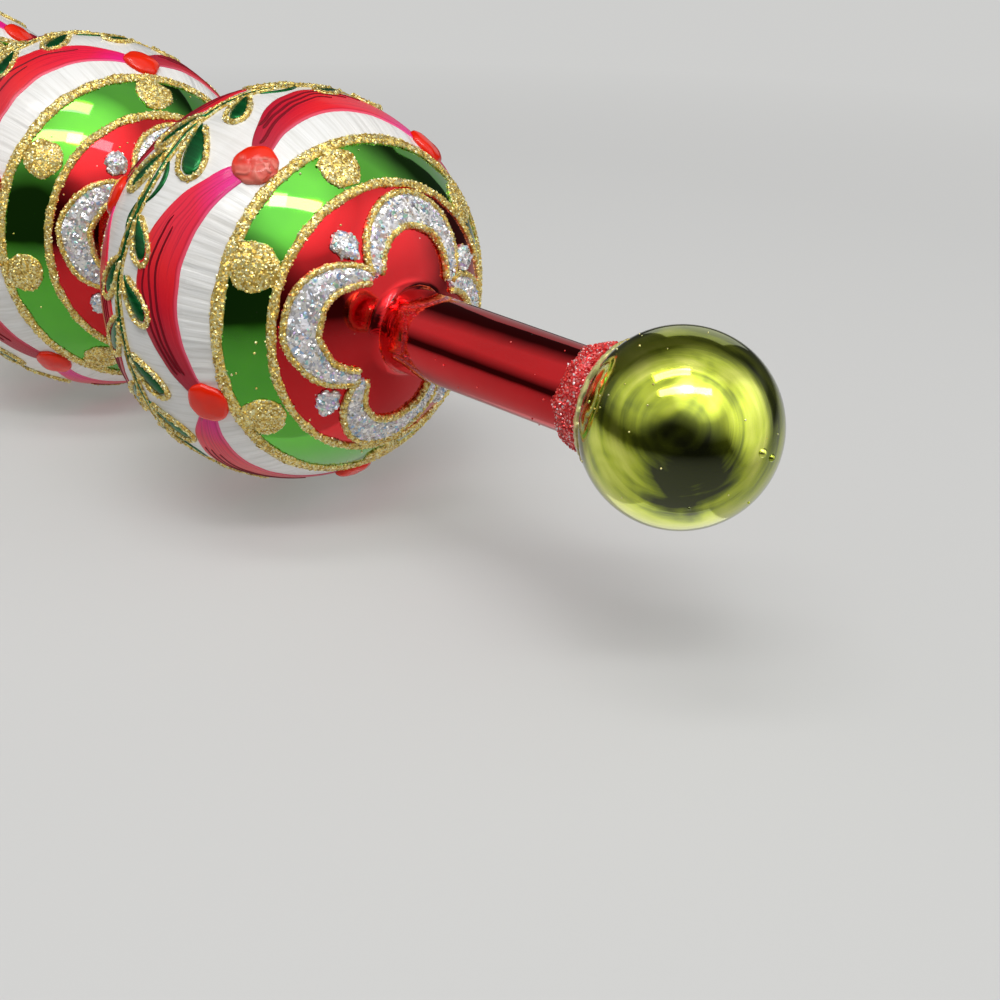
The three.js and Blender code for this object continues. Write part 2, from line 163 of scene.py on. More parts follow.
def partsOf(tree, vector):
    return addNode(tree, "ShaderNodeSeparateXYZ", {0: vector}).outputs


def between(tree, value, low, high):
    node = addNode(tree, "ShaderNodeMapRange", {"Value": value, "From Min": low, "From Max": high})
    return node.outputs["Result"]


def rampOf(tree, factor, stops):
    node = addNode(tree, "ShaderNodeValToRGB", {"Fac": factor})
    while len(node.color_ramp.elements) < len(stops):
        node.color_ramp.elements.new(0.5)
    for element, (place, colour) in zip(node.color_ramp.elements, stops):
        element.position = place
        element.color = (*colour, 1.0)
    return node.outputs["Color"]


def mixOf(tree, factor, first, second):
    node = addNode(tree, "ShaderNodeMix", {"Factor": factor}, data_type="RGBA")
    for socket, value in ((node.inputs[6], first), (node.inputs[7], second)):
        if isinstance(value, bpy.types.NodeSocket):
            tree.links.new(value, socket)
        else:
            socket.default_value = (*value, 1.0)
    return node.outputs[2]


def objectPlace(tree):
    return addNode(tree, "ShaderNodeTexCoord").outputs["Object"]


def markOf(tree, name):
    return addNode(tree, "ShaderNodeAttribute", attribute_name=name).outputs["Fac"]


def noiseOf(tree, place, fineness, detail=2.0, distortion=0.0):
    values = {"Vector": place, "Scale": fineness, "Detail": detail, "Distortion": distortion}
    return addNode(tree, "ShaderNodeTexNoise", values).outputs["Fac"]


def bumpOf(tree, height, distance, strength=1.0, normal=None):
    values = {"Height": height, "Distance": distance, "Strength": strength}
    if normal:
        values["Normal"] = normal
    return addNode(tree, "ShaderNodeBump", values).outputs["Normal"]


def newMaterial(name, **values):
    # an underscore in a value's name stands for a space in its label, here and in useGroup
    material = bpy.data.materials.new(name)
    material.use_nodes = True
    shader = material.node_tree.nodes["Principled BSDF"]
    for key, value in values.items():
        shader.inputs[key.replace("_", " ")].default_value = value
    return material, material.node_tree, shader.inputs


def newGroup(name, numbers, outputs):
    # numbers gives the usual value of each number that goes in, and outputs the kind of each result
    group = bpy.data.node_groups.new(name, "ShaderNodeTree")
    for label, value in numbers.items():
        socket = group.interface.new_socket(label, in_out="INPUT", socket_type="NodeSocketFloat")
        socket.default_value = value
    for label, kind in outputs.items():
        group.interface.new_socket(label, in_out="OUTPUT", socket_type=f"NodeSocket{kind}")
    return group, group.nodes.new("NodeGroupInput").outputs, group.nodes.new("NodeGroupOutput").inputs


def useGroup(tree, group, **values):
    node = addNode(tree, "ShaderNodeGroup", node_tree=group)
    for key, value in values.items():
        node.inputs[key.replace("_", " ")].default_value = value
    return node.outputs


# The glass: heights are worked down from the neck's rim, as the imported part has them

glass = {
    "radii": (25.0 * mm, 26.9 * mm, 28.5 * mm),  # from the tip end up
    "flatness": 0.902,
    "waistLength": 6.1 * mm,
    "waistRadius": 6.0 * mm,
    "neckLength": 7.5 * mm,
    "neckRadius": 6.0 * mm,
    "stemLength": 30.9 * mm,
    "stemRoot": 5.1 * mm,
    "stemTip": 4.65 * mm,
    "socket": 5.0 * mm,
    "wall": 1.0 * mm,
    "fillet": 1.2 * mm,
    "sides": 128,
    "whiteTo": 35.1,  # latitudes where the lacquers meet, under the gold lines
    "greenTo": 49.6,
}


def stackBalls():
    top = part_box("glass_body")[1][2] - glass["neckLength"]
    balls = []
    for radius in reversed(glass["radii"]):
        pole = radius * glass["flatness"]
        balls.insert(0, {"radius": radius, "pole": pole, "z": top - pole})
        top -= 2 * pole + glass["waistLength"]
    for ball, name in zip(balls, ("lower", "middle", "upper")):
        ball["name"] = name
    return balls


balls = stackBalls()
stemRoot = balls[0]["z"] - balls[0]["pole"]
stemSeat = stemRoot - glass["stemLength"]


def onBall(ball, turn, latitude, lift=0.0):
    cosine, sine = math.cos(math.radians(latitude)), math.sin(math.radians(latitude))
    slope = math.hypot(cosine * glass["flatness"], sine)
    radius = ball["radius"] * cosine + lift * cosine * glass["flatness"] / slope
    return around(turn, radius, ball["z"] + ball["pole"] * sine + lift * sine / slope)


def tubeOf(ball, side):
    # the radius of the stem, waist or neck that meets a ball on this side
    if side < 0:
        return glass["stemRoot"] if ball is balls[0] else glass["waistRadius"]
    return glass["neckRadius"] if ball is balls[-1] else glass["waistRadius"]


def filletLatitude(ball, side):
    return math.degrees(math.acos((tubeOf(ball, side) + glass["fillet"]) / ball["radius"]))


def filletCurve(ball, side, steps=8):
    latitude, tube = filletLatitude(ball, side), tubeOf(ball, side)
    start = onBall(ball, 0, side * latitude)
    slope = glass["flatness"] / math.tan(math.radians(latitude))
    corner = Vector((tube, 0, start.z + side * (start.x - tube) * slope))
    end = corner + Vector((0, 0, side * glass["fillet"]))
    shares = [i / steps for i in range(steps + 1)]
    return [(start * (1 - t) ** 2 + corner * 2 * t * (1 - t) + end * t ** 2) for t in shares]


def ballLatitudes(low, high, step=2.5):
    edges = [low, -glass["greenTo"], -glass["whiteTo"], glass["whiteTo"], glass["greenTo"], high]
    marks = []
    for first, last in zip(edges, edges[1:]):
        count = max(1, round((last - first) / step))
        marks += [first + (last - first) * i / count for i in range(count)]
    return marks[1:]


def glassProfile():
    tip, wall, half = glass["stemTip"], glass["wall"], glass["wall"] / 2
    stemEnd = stemSeat - glass["socket"]
    outside = [Vector((tip * math.sin(a), 0, stemEnd + tip * 0.5 * (1 - math.cos(a))))
               for a in (math.radians(x) for x in range(0, 91, 15))]
    inside = [Vector((0, 0, stemEnd + wall)), Vector((tip - wall, 0, stemEnd + tip * 0.5 + wall))]
    for ball in balls:
        low, high = -filletLatitude(ball, -1), filletLatitude(ball, 1)
        outside += reversed(filletCurve(ball, -1))
        outside += [onBall(ball, 0, latitude) for latitude in ballLatitudes(low, high)]
        outside += filletCurve(ball, 1)
        inside.append(Vector((tubeOf(ball, -1) - wall, 0, ball["z"] - ball["pole"])))
        inside += [onBall(ball, 0, latitude, -wall) for latitude in range(-65, 66, 13)]
        inside.append(Vector((tubeOf(ball, 1) - wall, 0, ball["z"] + ball["pole"])))
    neck, rim, eased = glass["neckRadius"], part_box("glass_body")[1][2], half * 0.3
    outside += [Vector((neck, 0, rim - half)), Vector((neck - eased, 0, rim - eased))]
    outside.append(Vector((neck - half, 0, rim)))
    inside += [Vector((neck - wall, 0, rim - half)), Vector((neck - wall + eased, 0, rim - eased))]
    return outside + inside[::-1]


def lacquerOf(point):
    # 0 is red, 1 green and 2 white; the inside is the first
    nearest = min(balls, key=lambda ball: abs(point.z - ball["z"]))
    latitude = math.degrees(math.asin(clamped((point.z - nearest["z"]) / nearest["pole"], -1, 1)))
    surface = nearest["radius"] * math.cos(math.radians(latitude))
    if abs(latitude) > glass["greenTo"] or polar(point)[1] < surface - glass["wall"] / 2:
        return 0
    return 1 if abs(latitude) > glass["whiteTo"] else 2


# Effects that several finishes share; a fineness counts waves or grains per metre, unless its comment
# says otherwise

waves = {
    "fineness": 130.0,
    "depth": 0.4 * mm,
    "cloudFineness": 60.0,
    "cloudEdge": (0.3, 0.7),  # where a lacquer is at its deepest and its brightest
    "dustFineness": 900.0,
    "dustEdge": (0.09, 0.05),
    "dustColour": (0.85, 0.8, 0.7),
    "patchFineness": 350.0,
    "patchRarity": 0.62,
}


def wavyGlassGroup():
    # blown glass waves a little, its lacquer is cloudy and dust settles on it in patches
    group, given, wanted = newGroup(
        "wavyGlass", {"Wave": 0.3}, {"Normal": "Vector", "Cloud": "Float", "Speck": "Float"})
    place = objectPlace(group)
    dust = addNode(group, "ShaderNodeTexVoronoi", {"Vector": place, "Scale": waves["dustFineness"]})
    speck = between(group, dust.outputs["Distance"], *waves["dustEdge"])
    patch = calc(group, "GREATER_THAN", noiseOf(group, place, waves["patchFineness"]), waves["patchRarity"])
    feed(group, wanted, {
        "Normal": bumpOf(group, noiseOf(group, place, waves["fineness"]), waves["depth"], given["Wave"]),
        "Cloud": noiseOf(group, place, waves["cloudFineness"], 4.0),
        "Speck": calc(group, "MULTIPLY", speck, patch)})
    return group


comb = {
    # fineness counts the strokes in a radian of turn, and climb is their fineness from pole to pole
    "fine": {"fineness": 60.0, "climb": 130.0, "detail": 2.0},
    "broad": {"fineness": 11.0, "climb": 50.0, "detail": 1.0},
    "wander": 0.3,
    "toneFineness": 90.0,
}


def combGroup():
    # fine strokes that run from pole to pole, as a brush leaves them, and broad soft ones
    fine, broad = comb["fine"], comb["broad"]
    group, given, wanted = newGroup(
        "combStrokes", {"Fineness": fine["fineness"], "Broad fineness": broad["fineness"]},
        {"Height": "Float", "Broad": "Float", "Tone": "Float"})
    place = objectPlace(group)
    x, y, z = partsOf(group, place)
    spoke = vectorCalc(group, "NORMALIZE", vectorOf(group, x, y))
    for label, fineness, look in (("Height", "Fineness", fine), ("Broad", "Broad fineness", broad)):
        fanned = vectorCalc(group, "SCALE", spoke, given[fineness])
        rise = vectorOf(group, z=calc(group, "MULTIPLY", z, look["climb"]))
        stroke = noiseOf(group, vectorCalc(group, "ADD", fanned, rise), 1.0, look["detail"], comb["wander"])
        feed(group, wanted, {label: stroke})
    feed(group, wanted, {"Tone": noiseOf(group, place, comb["toneFineness"], 3.0)})
    return group


def grainGroup():
    # glitter: every grain has its own shade and faces its own way
    group, given, wanted = newGroup(
        "glitterGrain", {"Grains per metre": 3000.0, "Tilt": 0.9},
        {"Shade": "Float", "Hue": "Float", "Normal": "Vector"})
    cells = {"Vector": objectPlace(group), "Scale": given["Grains per metre"]}
    grain = addNode(group, "ShaderNodeTexVoronoi", cells).outputs["Color"]
    lean = vectorCalc(group, "SUBTRACT", grain, (0.5, 0.5, 0.5))
    lean = vectorCalc(group, "SCALE", lean, given["Tilt"])
    facing = vectorCalc(group, "ADD", lean, addNode(group, "ShaderNodeNewGeometry").outputs["Normal"])
    shade, hue, _ = partsOf(group, grain)
    feed(group, wanted, {"Shade": shade, "Hue": hue, "Normal": vectorCalc(group, "NORMALIZE", facing)})
    return group


worn = {
    "tarnishFineness": 240.0,
    "tarnishEdge": (0.4, 0.7),
    "scratchTurn": (0.4, 0.9, 0.2),
    "scratchFineness": (300, 9000, 2500),  # along a scratch and across it
    "scratchEdge": (0.62, 0.7),
    "dentFineness": 500.0,
    "dentDepth": 0.3 * mm,
}


def wornMetalGroup():
    # fine scratches, a cloudy tarnish and tiny dents
    group, given, wanted = newGroup(
        "wornMetal", {"Dent": 0.15}, {"Tarnish": "Float", "Scratch": "Float", "Normal": "Vector"})
    place = objectPlace(group)
    stretched = addNode(group, "ShaderNodeMapping", {
        "Vector": place, "Rotation": worn["scratchTurn"], "Scale": worn["scratchFineness"]}).outputs[0]
    dent = noiseOf(group, place, worn["dentFineness"], 1.0)
    feed(group, wanted, {
        "Tarnish": between(group, noiseOf(group, place, worn["tarnishFineness"], 5.0), *worn["tarnishEdge"]),
        "Scratch": between(group, noiseOf(group, stretched, 1.0), *worn["scratchEdge"]),
        "Normal": bumpOf(group, dent, worn["dentDepth"], given["Dent"])})
    return group


wavyGlass = wavyGlassGroup()
combStrokes = combGroup()
glitterGrain = grainGroup()
wornMetal = wornMetalGroup()
finishes = {}


# Finishes

mirrors = {
    "redMirror": {"bright": (0.74, 0.005, 0.010), "deep": (0.56, 0.002, 0.005), "clear": 0.6, "index": 1.5},
    "greenMirror": {"bright": (0.10, 0.52, 0.006), "deep": (0.05, 0.37, 0.004), "clear": 0.9, "index": 1.6},
}


def mirrorLacquer(name, look):
    # see-through colour over silvering, under a clear coat
    material, tree, inputs = newMaterial(name, Metallic=1.0, Roughness=0.05, Coat_Weight=look["clear"],
                                         Coat_Roughness=0.03, Coat_IOR=look["index"])
    effect = useGroup(tree, wavyGlass)
    shade = mixOf(tree, between(tree, effect["Cloud"], *waves["cloudEdge"]), look["deep"], look["bright"])
    feed(tree, inputs, {
        "Base Color": mixOf(tree, effect["Speck"], shade, waves["dustColour"]),
        "Roughness": calc(tree, "MULTIPLY_ADD", effect["Cloud"], 0.06, 0.03),
        "Normal": effect["Normal"]})
    return material


crinkle = {
    "centre": Vector((-2.2 * mm, -1.6 * mm, stemRoot - 1.2 * mm)),
    "reach": 3.4 * mm,
    "ragged": 2.6 * mm,  # how much further it may reach in places
    "edge": (0.8, 0.2),  # shares of that where it fades out
    "edgeFineness": 260.0,
    "creaseFineness": 480.0,
    "depth": 0.2 * mm,
    # painted highlight: the crinkled patch is painted a brighter red than the lacquer around it
    "colour": (0.86, 0.010, 0.014),
}


def crinkleRoot(material):
    # the red lacquer gathered and crinkled where the stem leaves the ball, and painted a brighter red there
    # as a painted highlight
    tree = material.node_tree
    inputs = tree.nodes["Principled BSDF"].inputs
    smoothColour, smoothNormal = (inputs[label].links[0].from_socket for label in ("Base Color", "Normal"))
    place = objectPlace(tree)
    away = vectorCalc(tree, "LENGTH", vectorCalc(tree, "SUBTRACT", place, crinkle["centre"]))
    edge = noiseOf(tree, place, crinkle["edgeFineness"])
    mask = between(tree, calc(tree, "MULTIPLY_ADD", edge, crinkle["ragged"], away),
                   *(crinkle["reach"] + crinkle["ragged"] * share for share in crinkle["edge"]))
    crease = calc(tree, "MULTIPLY", noiseOf(tree, place, crinkle["creaseFineness"], distortion=1.0), mask)
    feed(tree, inputs, {
        "Base Color": mixOf(tree, mask, smoothColour, crinkle["colour"]),
        "Roughness": calc(tree, "MULTIPLY_ADD", mask, 0.1, 0.05),
        "Normal": bumpOf(tree, crease, crinkle["depth"], normal=smoothNormal)})


pearl = {
    # the first colour is painted shade for the valleys of the fine strokes
    "paintedValleyShade": (0.74, 0.73, 0.69),
    "white": (0.86, 0.855, 0.83),
    "cream": (0.86, 0.81, 0.76),
    "creamShare": 0.6,
    "whiteEdge": (0.30, 0.55),  # of the strokes' height, where the painted shade in their valleys turns to white
    "creamEdge": (0.45, 0.8),  # of the cloudy tone
    "fineDepth": 0.07,  # in mm, as the next one
    "broadDepth": 0.7,
    "broadFrom": (0.17, 0.27),  # shares of the way to a pole where the broad strokes fade in
}


def pearlWhite():
    # pearl lacquer combed by the brush, with painted shade in the valleys of the fine strokes; the broad
    # strokes lie outside the garlands
    material, tree, inputs = newMaterial("pearlWhite", Metallic=0.0, Roughness=0.35, Coat_Weight=0.5,
                                         Coat_Roughness=0.12, Sheen_Weight=0.1)
    effect = useGroup(tree, combStrokes)
    polewards = between(tree, markOf(tree, "latitude"), *pearl["broadFrom"])
    broad = calc(tree, "MULTIPLY", calc(tree, "MULTIPLY", effect["Broad"], polewards), pearl["broadDepth"])
    # painted shade: the low parts of the fine strokes are painted grey, the high parts white
    shade = mixOf(tree, between(tree, effect["Height"], *pearl["whiteEdge"]), pearl["paintedValleyShade"], pearl["white"])
    creamy = calc(tree, "MULTIPLY", between(tree, effect["Tone"], *pearl["creamEdge"]), pearl["creamShare"])
    height = calc(tree, "MULTIPLY_ADD", effect["Height"], pearl["fineDepth"], broad)
    feed(tree, inputs, {
        "Base Color": mixOf(tree, creamy, shade, pearl["cream"]),
        "Roughness": calc(tree, "MULTIPLY_ADD", effect["Tone"], 0.3, 0.2),
        "Normal": bumpOf(tree, height, 1.0 * mm)})
    return material


# glitters: what a grain's shade picks as its colour, the darkest first
glitters = {
    "goldGlitter": {
        "stops": ((0.0, (0.58, 0.37, 0.06)), (0.1, (0.88, 0.62, 0.13)), (0.45, (1.0, 0.82, 0.24)),
                  (0.8, (1.0, 0.96, 0.56))),
        "grains": 3300.0, "metallic": 0.6, "roughness": 0.28},
    "silverGlitter": {
        "stops": ((0.0, (0.66, 0.65, 0.68)), (0.08, (0.92, 0.90, 0.89)), (0.2, (1.0, 0.99, 0.94)),
                  (0.56, (1.0, 0.96, 0.91)), (0.66, (0.40, 0.62, 0.98)), (0.74, (0.50, 0.92, 0.66)),
                  (0.82, (0.78, 0.55, 0.95)), (0.88, (0.98, 0.80, 0.55)), (0.94, (1.0, 1.0, 1.0))),
        "grains": 1900.0, "metallic": 0.5, "roughness": 0.18},
    "redGlitter": {
        "stops": ((0.0, (0.56, 0.010, 0.016)), (0.15, (0.88, 0.032, 0.036)), (0.6, (0.96, 0.085, 0.070)),
                  (0.84, (1.0, 0.26, 0.24)), (0.94, (1.0, 0.88, 0.88))),
        "grains": 3400.0, "metallic": 0.3, "roughness": 0.22},
}


def glitter(name, look):
    # a chip's own tone shifts its shade; the glue between chips has no tone and is darkest
    material, tree, inputs = newMaterial(
        name, Metallic=look["metallic"], Roughness=look["roughness"], Coat_Weight=0.3)
    effect = useGroup(tree, glitterGrain, Grains_per_metre=look["grains"])
    tone = markOf(tree, "tone")
    pick = calc(tree, "FRACT", calc(tree, "ADD", effect["Shade"], tone))
    bed = calc(tree, "MULTIPLY", between(tree, tone, 0.04, 0.01), between(tree, effect["Hue"], 0.62, 0.38))
    feed(tree, inputs, {
        "Base Color": mixOf(tree, bed, rampOf(tree, pick, look["stops"]), look["stops"][0][1]),
        "Normal": effect["Normal"]})
    return material


enamel = {
    "stops": ((0.0, (0.38, 0.008, 0.034)), (0.25, (0.54, 0.010, 0.030)), (0.5, (0.80, 0.016, 0.024)),
              (0.78, (0.82, 0.014, 0.055)), (0.93, (0.82, 0.012, 0.26))),
    "dark": (0.38, 0.006, 0.03),
    "light": (0.86, 0.04, 0.06),
    "blush": (0.88, 0.22, 0.36),
    "darkEdge": (0.48, 0.34),  # of the streaks
    "lightEdge": (0.56, 0.72),
    "blushEdge": (0.92, 1.16),  # of how far across it is
    "shares": (0.6, 0.3, 0.5),  # of dark, light and blush at their fullest
    "lanes": (9.0, 2.0),  # streaks across a garland and along it
    "streakDepth": 0.3 * mm,
}


def garlandEnamel():
    # magenta by one berry, red along the middle, crimson by the next; it thins to pink on its polar edge
    material, tree, inputs = newMaterial("garlandEnamel", Roughness=0.3, Specular_IOR_Level=0.2,
                                         Coat_Weight=0.25, Coat_Roughness=0.08)
    along, across = markOf(tree, "along"), markOf(tree, "across")
    drift = calc(tree, "MULTIPLY_ADD", useGroup(tree, wavyGlass)["Cloud"], 0.3, -0.15)
    drift = calc(tree, "MULTIPLY_ADD", across, 0.07, calc(tree, "ADD", along, drift))
    lanes = (calc(tree, "MULTIPLY", mark, count) for mark, count in zip((across, along), enamel["lanes"]))
    streak = noiseOf(tree, vectorOf(tree, *lanes), 1.0, 4.0)
    outwards = calc(tree, "MULTIPLY_ADD", streak, 0.25, across)
    darker, lighter, blushing = (
        calc(tree, "MULTIPLY", between(tree, value, *enamel[edge]), share)
        for value, edge, share in zip((streak, streak, outwards), ("darkEdge", "lightEdge", "blushEdge"),
                                      enamel["shares"]))
    shade = mixOf(tree, darker, rampOf(tree, drift, enamel["stops"]), enamel["dark"])
    shade = mixOf(tree, lighter, shade, enamel["light"])
    feed(tree, inputs, {
        "Base Color": mixOf(tree, blushing, shade, enamel["blush"]),
        "Normal": bumpOf(tree, streak, enamel["streakDepth"], 0.25)})
    return material


strokePaint = {"thick": (0.15, 0.002, 0.008), "thin": (0.24, 0.003, 0.014)}


def garlandStroke():
    material, tree, inputs = newMaterial("garlandStroke", Roughness=0.5, Specular_IOR_Level=0.15)
    effect = useGroup(tree, wavyGlass)
    patchy = between(tree, effect["Cloud"], *waves["cloudEdge"])
    feed(tree, inputs, {
        "Base Color": mixOf(tree, patchy, strokePaint["thick"], strokePaint["thin"]),
        "Normal": effect["Normal"]})
    return material


berryPaint = {
    "bright": (0.88, 0.026, 0.002),
    "deep": (0.76, 0.012, 0.002),
    "crease": (0.72, 0.075, 0.05),
    "frost": (0.82, 0.20, 0.15),
    "toneFineness": 150.0,
    "skinFineness": 420.0,
    "edgeFineness": 500.0,
    "frostEdge": (0.74, 0.92),
    "creaseEdge": (0.40, 0.60),
    "deepEdge": (0.35, 0.7),
    "depth": 0.22 * mm,
}


def berryEnamel():
    # thick enamel, wrinkled and frosted where a berry has along above zero
    material, tree, inputs = newMaterial("berryEnamel", Roughness=0.22, Specular_IOR_Level=0.3,
                                         Coat_Weight=0.25, Coat_Roughness=0.05)
    place = objectPlace(tree)
    blur = noiseOf(tree, place, berryPaint["edgeFineness"], 1.0)
    side = calc(tree, "MULTIPLY_ADD", blur, 0.7, markOf(tree, "along"))
    frosted = between(tree, side, *berryPaint["frostEdge"])
    skin = noiseOf(tree, place, berryPaint["skinFineness"], 1.0, 2.0)
    crease = between(tree, skin, *berryPaint["creaseEdge"])
    tone = between(tree, noiseOf(tree, place, berryPaint["toneFineness"]), *berryPaint["deepEdge"])
    pale = mixOf(tree, crease, berryPaint["crease"], berryPaint["frost"])
    plain = mixOf(tree, tone, berryPaint["bright"], berryPaint["deep"])
    feed(tree, inputs, {
        "Base Color": mixOf(tree, frosted, plain, pale),
        "Roughness": calc(tree, "MULTIPLY_ADD", frosted, 0.3, 0.16),
        "Normal": bumpOf(tree, calc(tree, "MULTIPLY", crease, frosted), berryPaint["depth"], 0.8)})
    return material


leafPaint = {
    "stops": ((0.3, (0.001, 0.045, 0.010)), (0.5, (0.002, 0.13, 0.028)), (0.68, (0.012, 0.34, 0.06))),
    "veins": 45.0,
}


def leafLacquer():
    material, tree, inputs = newMaterial("leafLacquer", Metallic=0.6, Roughness=0.25, Specular_IOR_Level=0.3,
                                         Coat_Weight=0.15, Coat_Roughness=0.05)
    effect = useGroup(tree, wavyGlass)
    vein = calc(tree, "MULTIPLY", useGroup(tree, combStrokes, Fineness=leafPaint["veins"])["Height"], 0.4)
    tone = calc(tree, "MULTIPLY_ADD", effect["Cloud"], 0.6, vein)
    feed(tree, inputs, {
        "Base Color": rampOf(tree, tone, leafPaint["stops"]),
        "Normal": effect["Normal"]})
    return material


# The small ball on the tip; its glass is painted from the ball's centre
tip = {
    "radius": 10.05 * mm,
    "wall": 1.0 * mm,
    "lipHeight": 0.6 * mm,
    "lipWall": 0.9 * mm,
    "gap": 0.3 * mm,
    "sides": 96,
    "bubbles": ((231.0, -82.5, 0.5 * mm), (1.7, -85.6, 0.42 * mm), (150.0, -40.0, 0.2 * mm),
                (96.0, -62.0, 0.17 * mm), (205.0, 30.0, 0.18 * mm)),  # turn, latitude and radius
    "bubbleSunk": 0.25,  # share of a bubble's radius
    "lipEase": (0.3 * mm, 0.2 * mm),  # how far the lip's outer edge is cut off, inwards and down
    "strays": 34,
    "strayShare": 0.6,  # of the strays, that lie near one turn
    "strayTurn": (235, 35),  # that turn, and how widely they spread
    "strayFrom": {True: -10, False: -80},  # the lowest latitude of those and of the others
    "strayTo": 42,
    "strayRadii": (0.05, 0.13),  # in mm
}
tip["bore"] = glass["stemTip"] + tip["gap"]
tip["lip"] = tip["bore"] + tip["lipWall"]
tip["centre"] = stemSeat - tip["lipHeight"] - math.sqrt(tip["radius"] ** 2 - tip["lip"] ** 2)

tipPaint = {
    "stops": ((0.37, (0.045, 0.055, 0.004)), (0.44, (0.28, 0.35, 0.013)), (0.51, (0.64, 0.75, 0.035)),
              (0.60, (0.94, 1.0, 0.15))),
    "arcTurn": (0.663, 2.303, 0.0),  # turns the brushed arcs' axis onto Z
    "arcFineness": (900.0, 70.0),  # out from that axis, and round it
    "arcsFrom": (1.2 * mm, 5.0 * mm),  # distances from the axis where the arcs fade in
    "arcDepth": 0.25 * mm,
    "arcShare": 0.45,
    "smokeShare": 0.55,
    "smokeFineness": 110.0,
    # painted shade: where a darker patch sits on the ball, how far and how raggedly it reaches, and how much
    # it darkens
    "paintedShadeAt": Vector((-7.1, 0.9, -7.1)) * mm,
    "paintedShadeReach": (9 * mm, 4.5 * mm),
    "paintedShadeRagged": 4 * mm,
    "paintedShadeDepth": -0.18,
    "thinFrom": (6.5 * mm, 10.5 * mm), # heights where the lacquer thins towards the opening
    "thinRagged": 6 * mm,
    "thinShare": 0.75,
    "thin": (0.34, 0.36, 0.22),
    "dust": (0.75, 0.68, 0.30),
}


def tipGlass():
    # silvered yellow-green glass: brushed arcs, smoky streaks, a patch of painted shade low on one side, and
    # thin grey lacquer near the opening
    look = tipPaint
    material, tree, inputs = newMaterial("tipGlass", Metallic=0.95, Roughness=0.08, Coat_Weight=1.0,
                                         Coat_Roughness=0.015, Coat_IOR=1.55)
    place = vectorCalc(tree, "SUBTRACT", objectPlace(tree), (0.0, 0.0, tip["centre"]))
    effect = useGroup(tree, wavyGlass, Wave=0.35)
    turned = addNode(tree, "ShaderNodeMapping", {"Vector": place, "Rotation": look["arcTurn"]}).outputs[0]
    x, y, _ = partsOf(tree, turned)
    ring = vectorCalc(tree, "LENGTH", vectorOf(tree, x, y))
    out, about = look["arcFineness"]
    sweep = vectorOf(tree, *(calc(tree, "MULTIPLY", part, fineness)
                             for part, fineness in ((ring, out), (x, about), (y, about))))
    brush = calc(tree, "SUBTRACT", noiseOf(tree, sweep, 1.0, 4.0, 0.5), 0.5)
    arcs = calc(tree, "MULTIPLY_ADD", brush, between(tree, ring, *look["arcsFrom"]), 0.5)
    smoke = noiseOf(tree, place, look["smokeFineness"], 3.0, 0.8)
    drift = calc(tree, "MULTIPLY_ADD", arcs, look["arcShare"],
                 calc(tree, "MULTIPLY", smoke, look["smokeShare"]))
    # painted shade: one patch low on one side of the ball is painted darker, standing in for a dark
    # reflection
    away = vectorCalc(tree, "LENGTH", vectorCalc(tree, "SUBTRACT", place, look["paintedShadeAt"]))
    paintedShade = between(tree, calc(tree, "MULTIPLY_ADD", smoke, look["paintedShadeRagged"], away), *look["paintedShadeReach"])
    drift = calc(tree, "MULTIPLY_ADD", paintedShade, look["paintedShadeDepth"], drift)
    height = calc(tree, "MULTIPLY_ADD", smoke, look["thinRagged"], partsOf(tree, place)[2])
    thin = calc(tree, "MULTIPLY", between(tree, height, *look["thinFrom"]), look["thinShare"])
    shade = mixOf(tree, thin, rampOf(tree, drift, look["stops"]), look["thin"])
    feed(tree, inputs, {
        "Base Color": mixOf(tree, effect["Speck"], shade, look["dust"]),
        "Roughness": calc(tree, "MULTIPLY_ADD", arcs, 0.16, 0.02),
        "Normal": bumpOf(tree, arcs, look["arcDepth"], 0.1, effect["Normal"])})
    return material


gluePaint = {"stops": ((0.32, (0.40, 0.40, 0.07)), (0.5, (0.68, 0.68, 0.28)), (0.68, (0.78, 0.50, 0.24)))}


def clearGlue():
    material, tree, inputs = newMaterial("clearGlue", Metallic=0.1, Roughness=0.16, Coat_Weight=0.8,
                                         Coat_Roughness=0.04)
    effect = useGroup(tree, wavyGlass, Wave=1.0)
    feed(tree, inputs, {
        "Base Color": rampOf(tree, effect["Cloud"], gluePaint["stops"]), "Normal": effect["Normal"]})
    return material


platings = {
    "goldPlate": {"bright": (0.86, 0.62, 0.24), "dull": (0.55, 0.36, 0.12)},
    "steelWire": {"bright": (0.66, 0.66, 0.64), "dull": (0.40, 0.39, 0.37)},
}


def platedMetal(name, look):
    material, tree, inputs = newMaterial(name, Metallic=1.0)
    effect = useGroup(tree, wornMetal)
    rough = calc(tree, "MULTIPLY_ADD", effect["Tarnish"], 0.16, 0.14)
    feed(tree, inputs, {
        "Base Color": mixOf(tree, effect["Tarnish"], look["bright"], look["dull"]),
        "Roughness": calc(tree, "MULTIPLY_ADD", effect["Scratch"], 0.2, rough),
        "Normal": effect["Normal"]})
    return material


for maker, looks in ((mirrorLacquer, mirrors), (glitter, glitters), (platedMetal, platings)):
    finishes.update({name: maker(name, look) for name, look in looks.items()})
for maker in (pearlWhite, garlandEnamel, garlandStroke, berryEnamel, leafLacquer, tipGlass, clearGlue):
    finishes[maker.__name__] = maker()
crinkleRoot(finishes["redMirror"])
print("finishes ready")


def makeGlass():
    bm = spun(glassProfile(), glass["sides"])
    mark, = newMarks(bm, "latitude")
    for vert in bm.verts:
        ball = min(balls, key=lambda ball: abs(vert.co.z - ball["z"]))
        vert[mark] = math.asin(min(1.0, abs(vert.co.z - ball["z"]) / ball["pole"])) / (math.pi / 2)
    for face in bm.faces:
        face.material_index = lacquerOf(face.calc_center_median())
    piece = finishMesh("blownGlass", bm, ["redMirror", "greenMirror", "pearlWhite"])
    install(piece, "ornament", "red_glass", "glass_body")


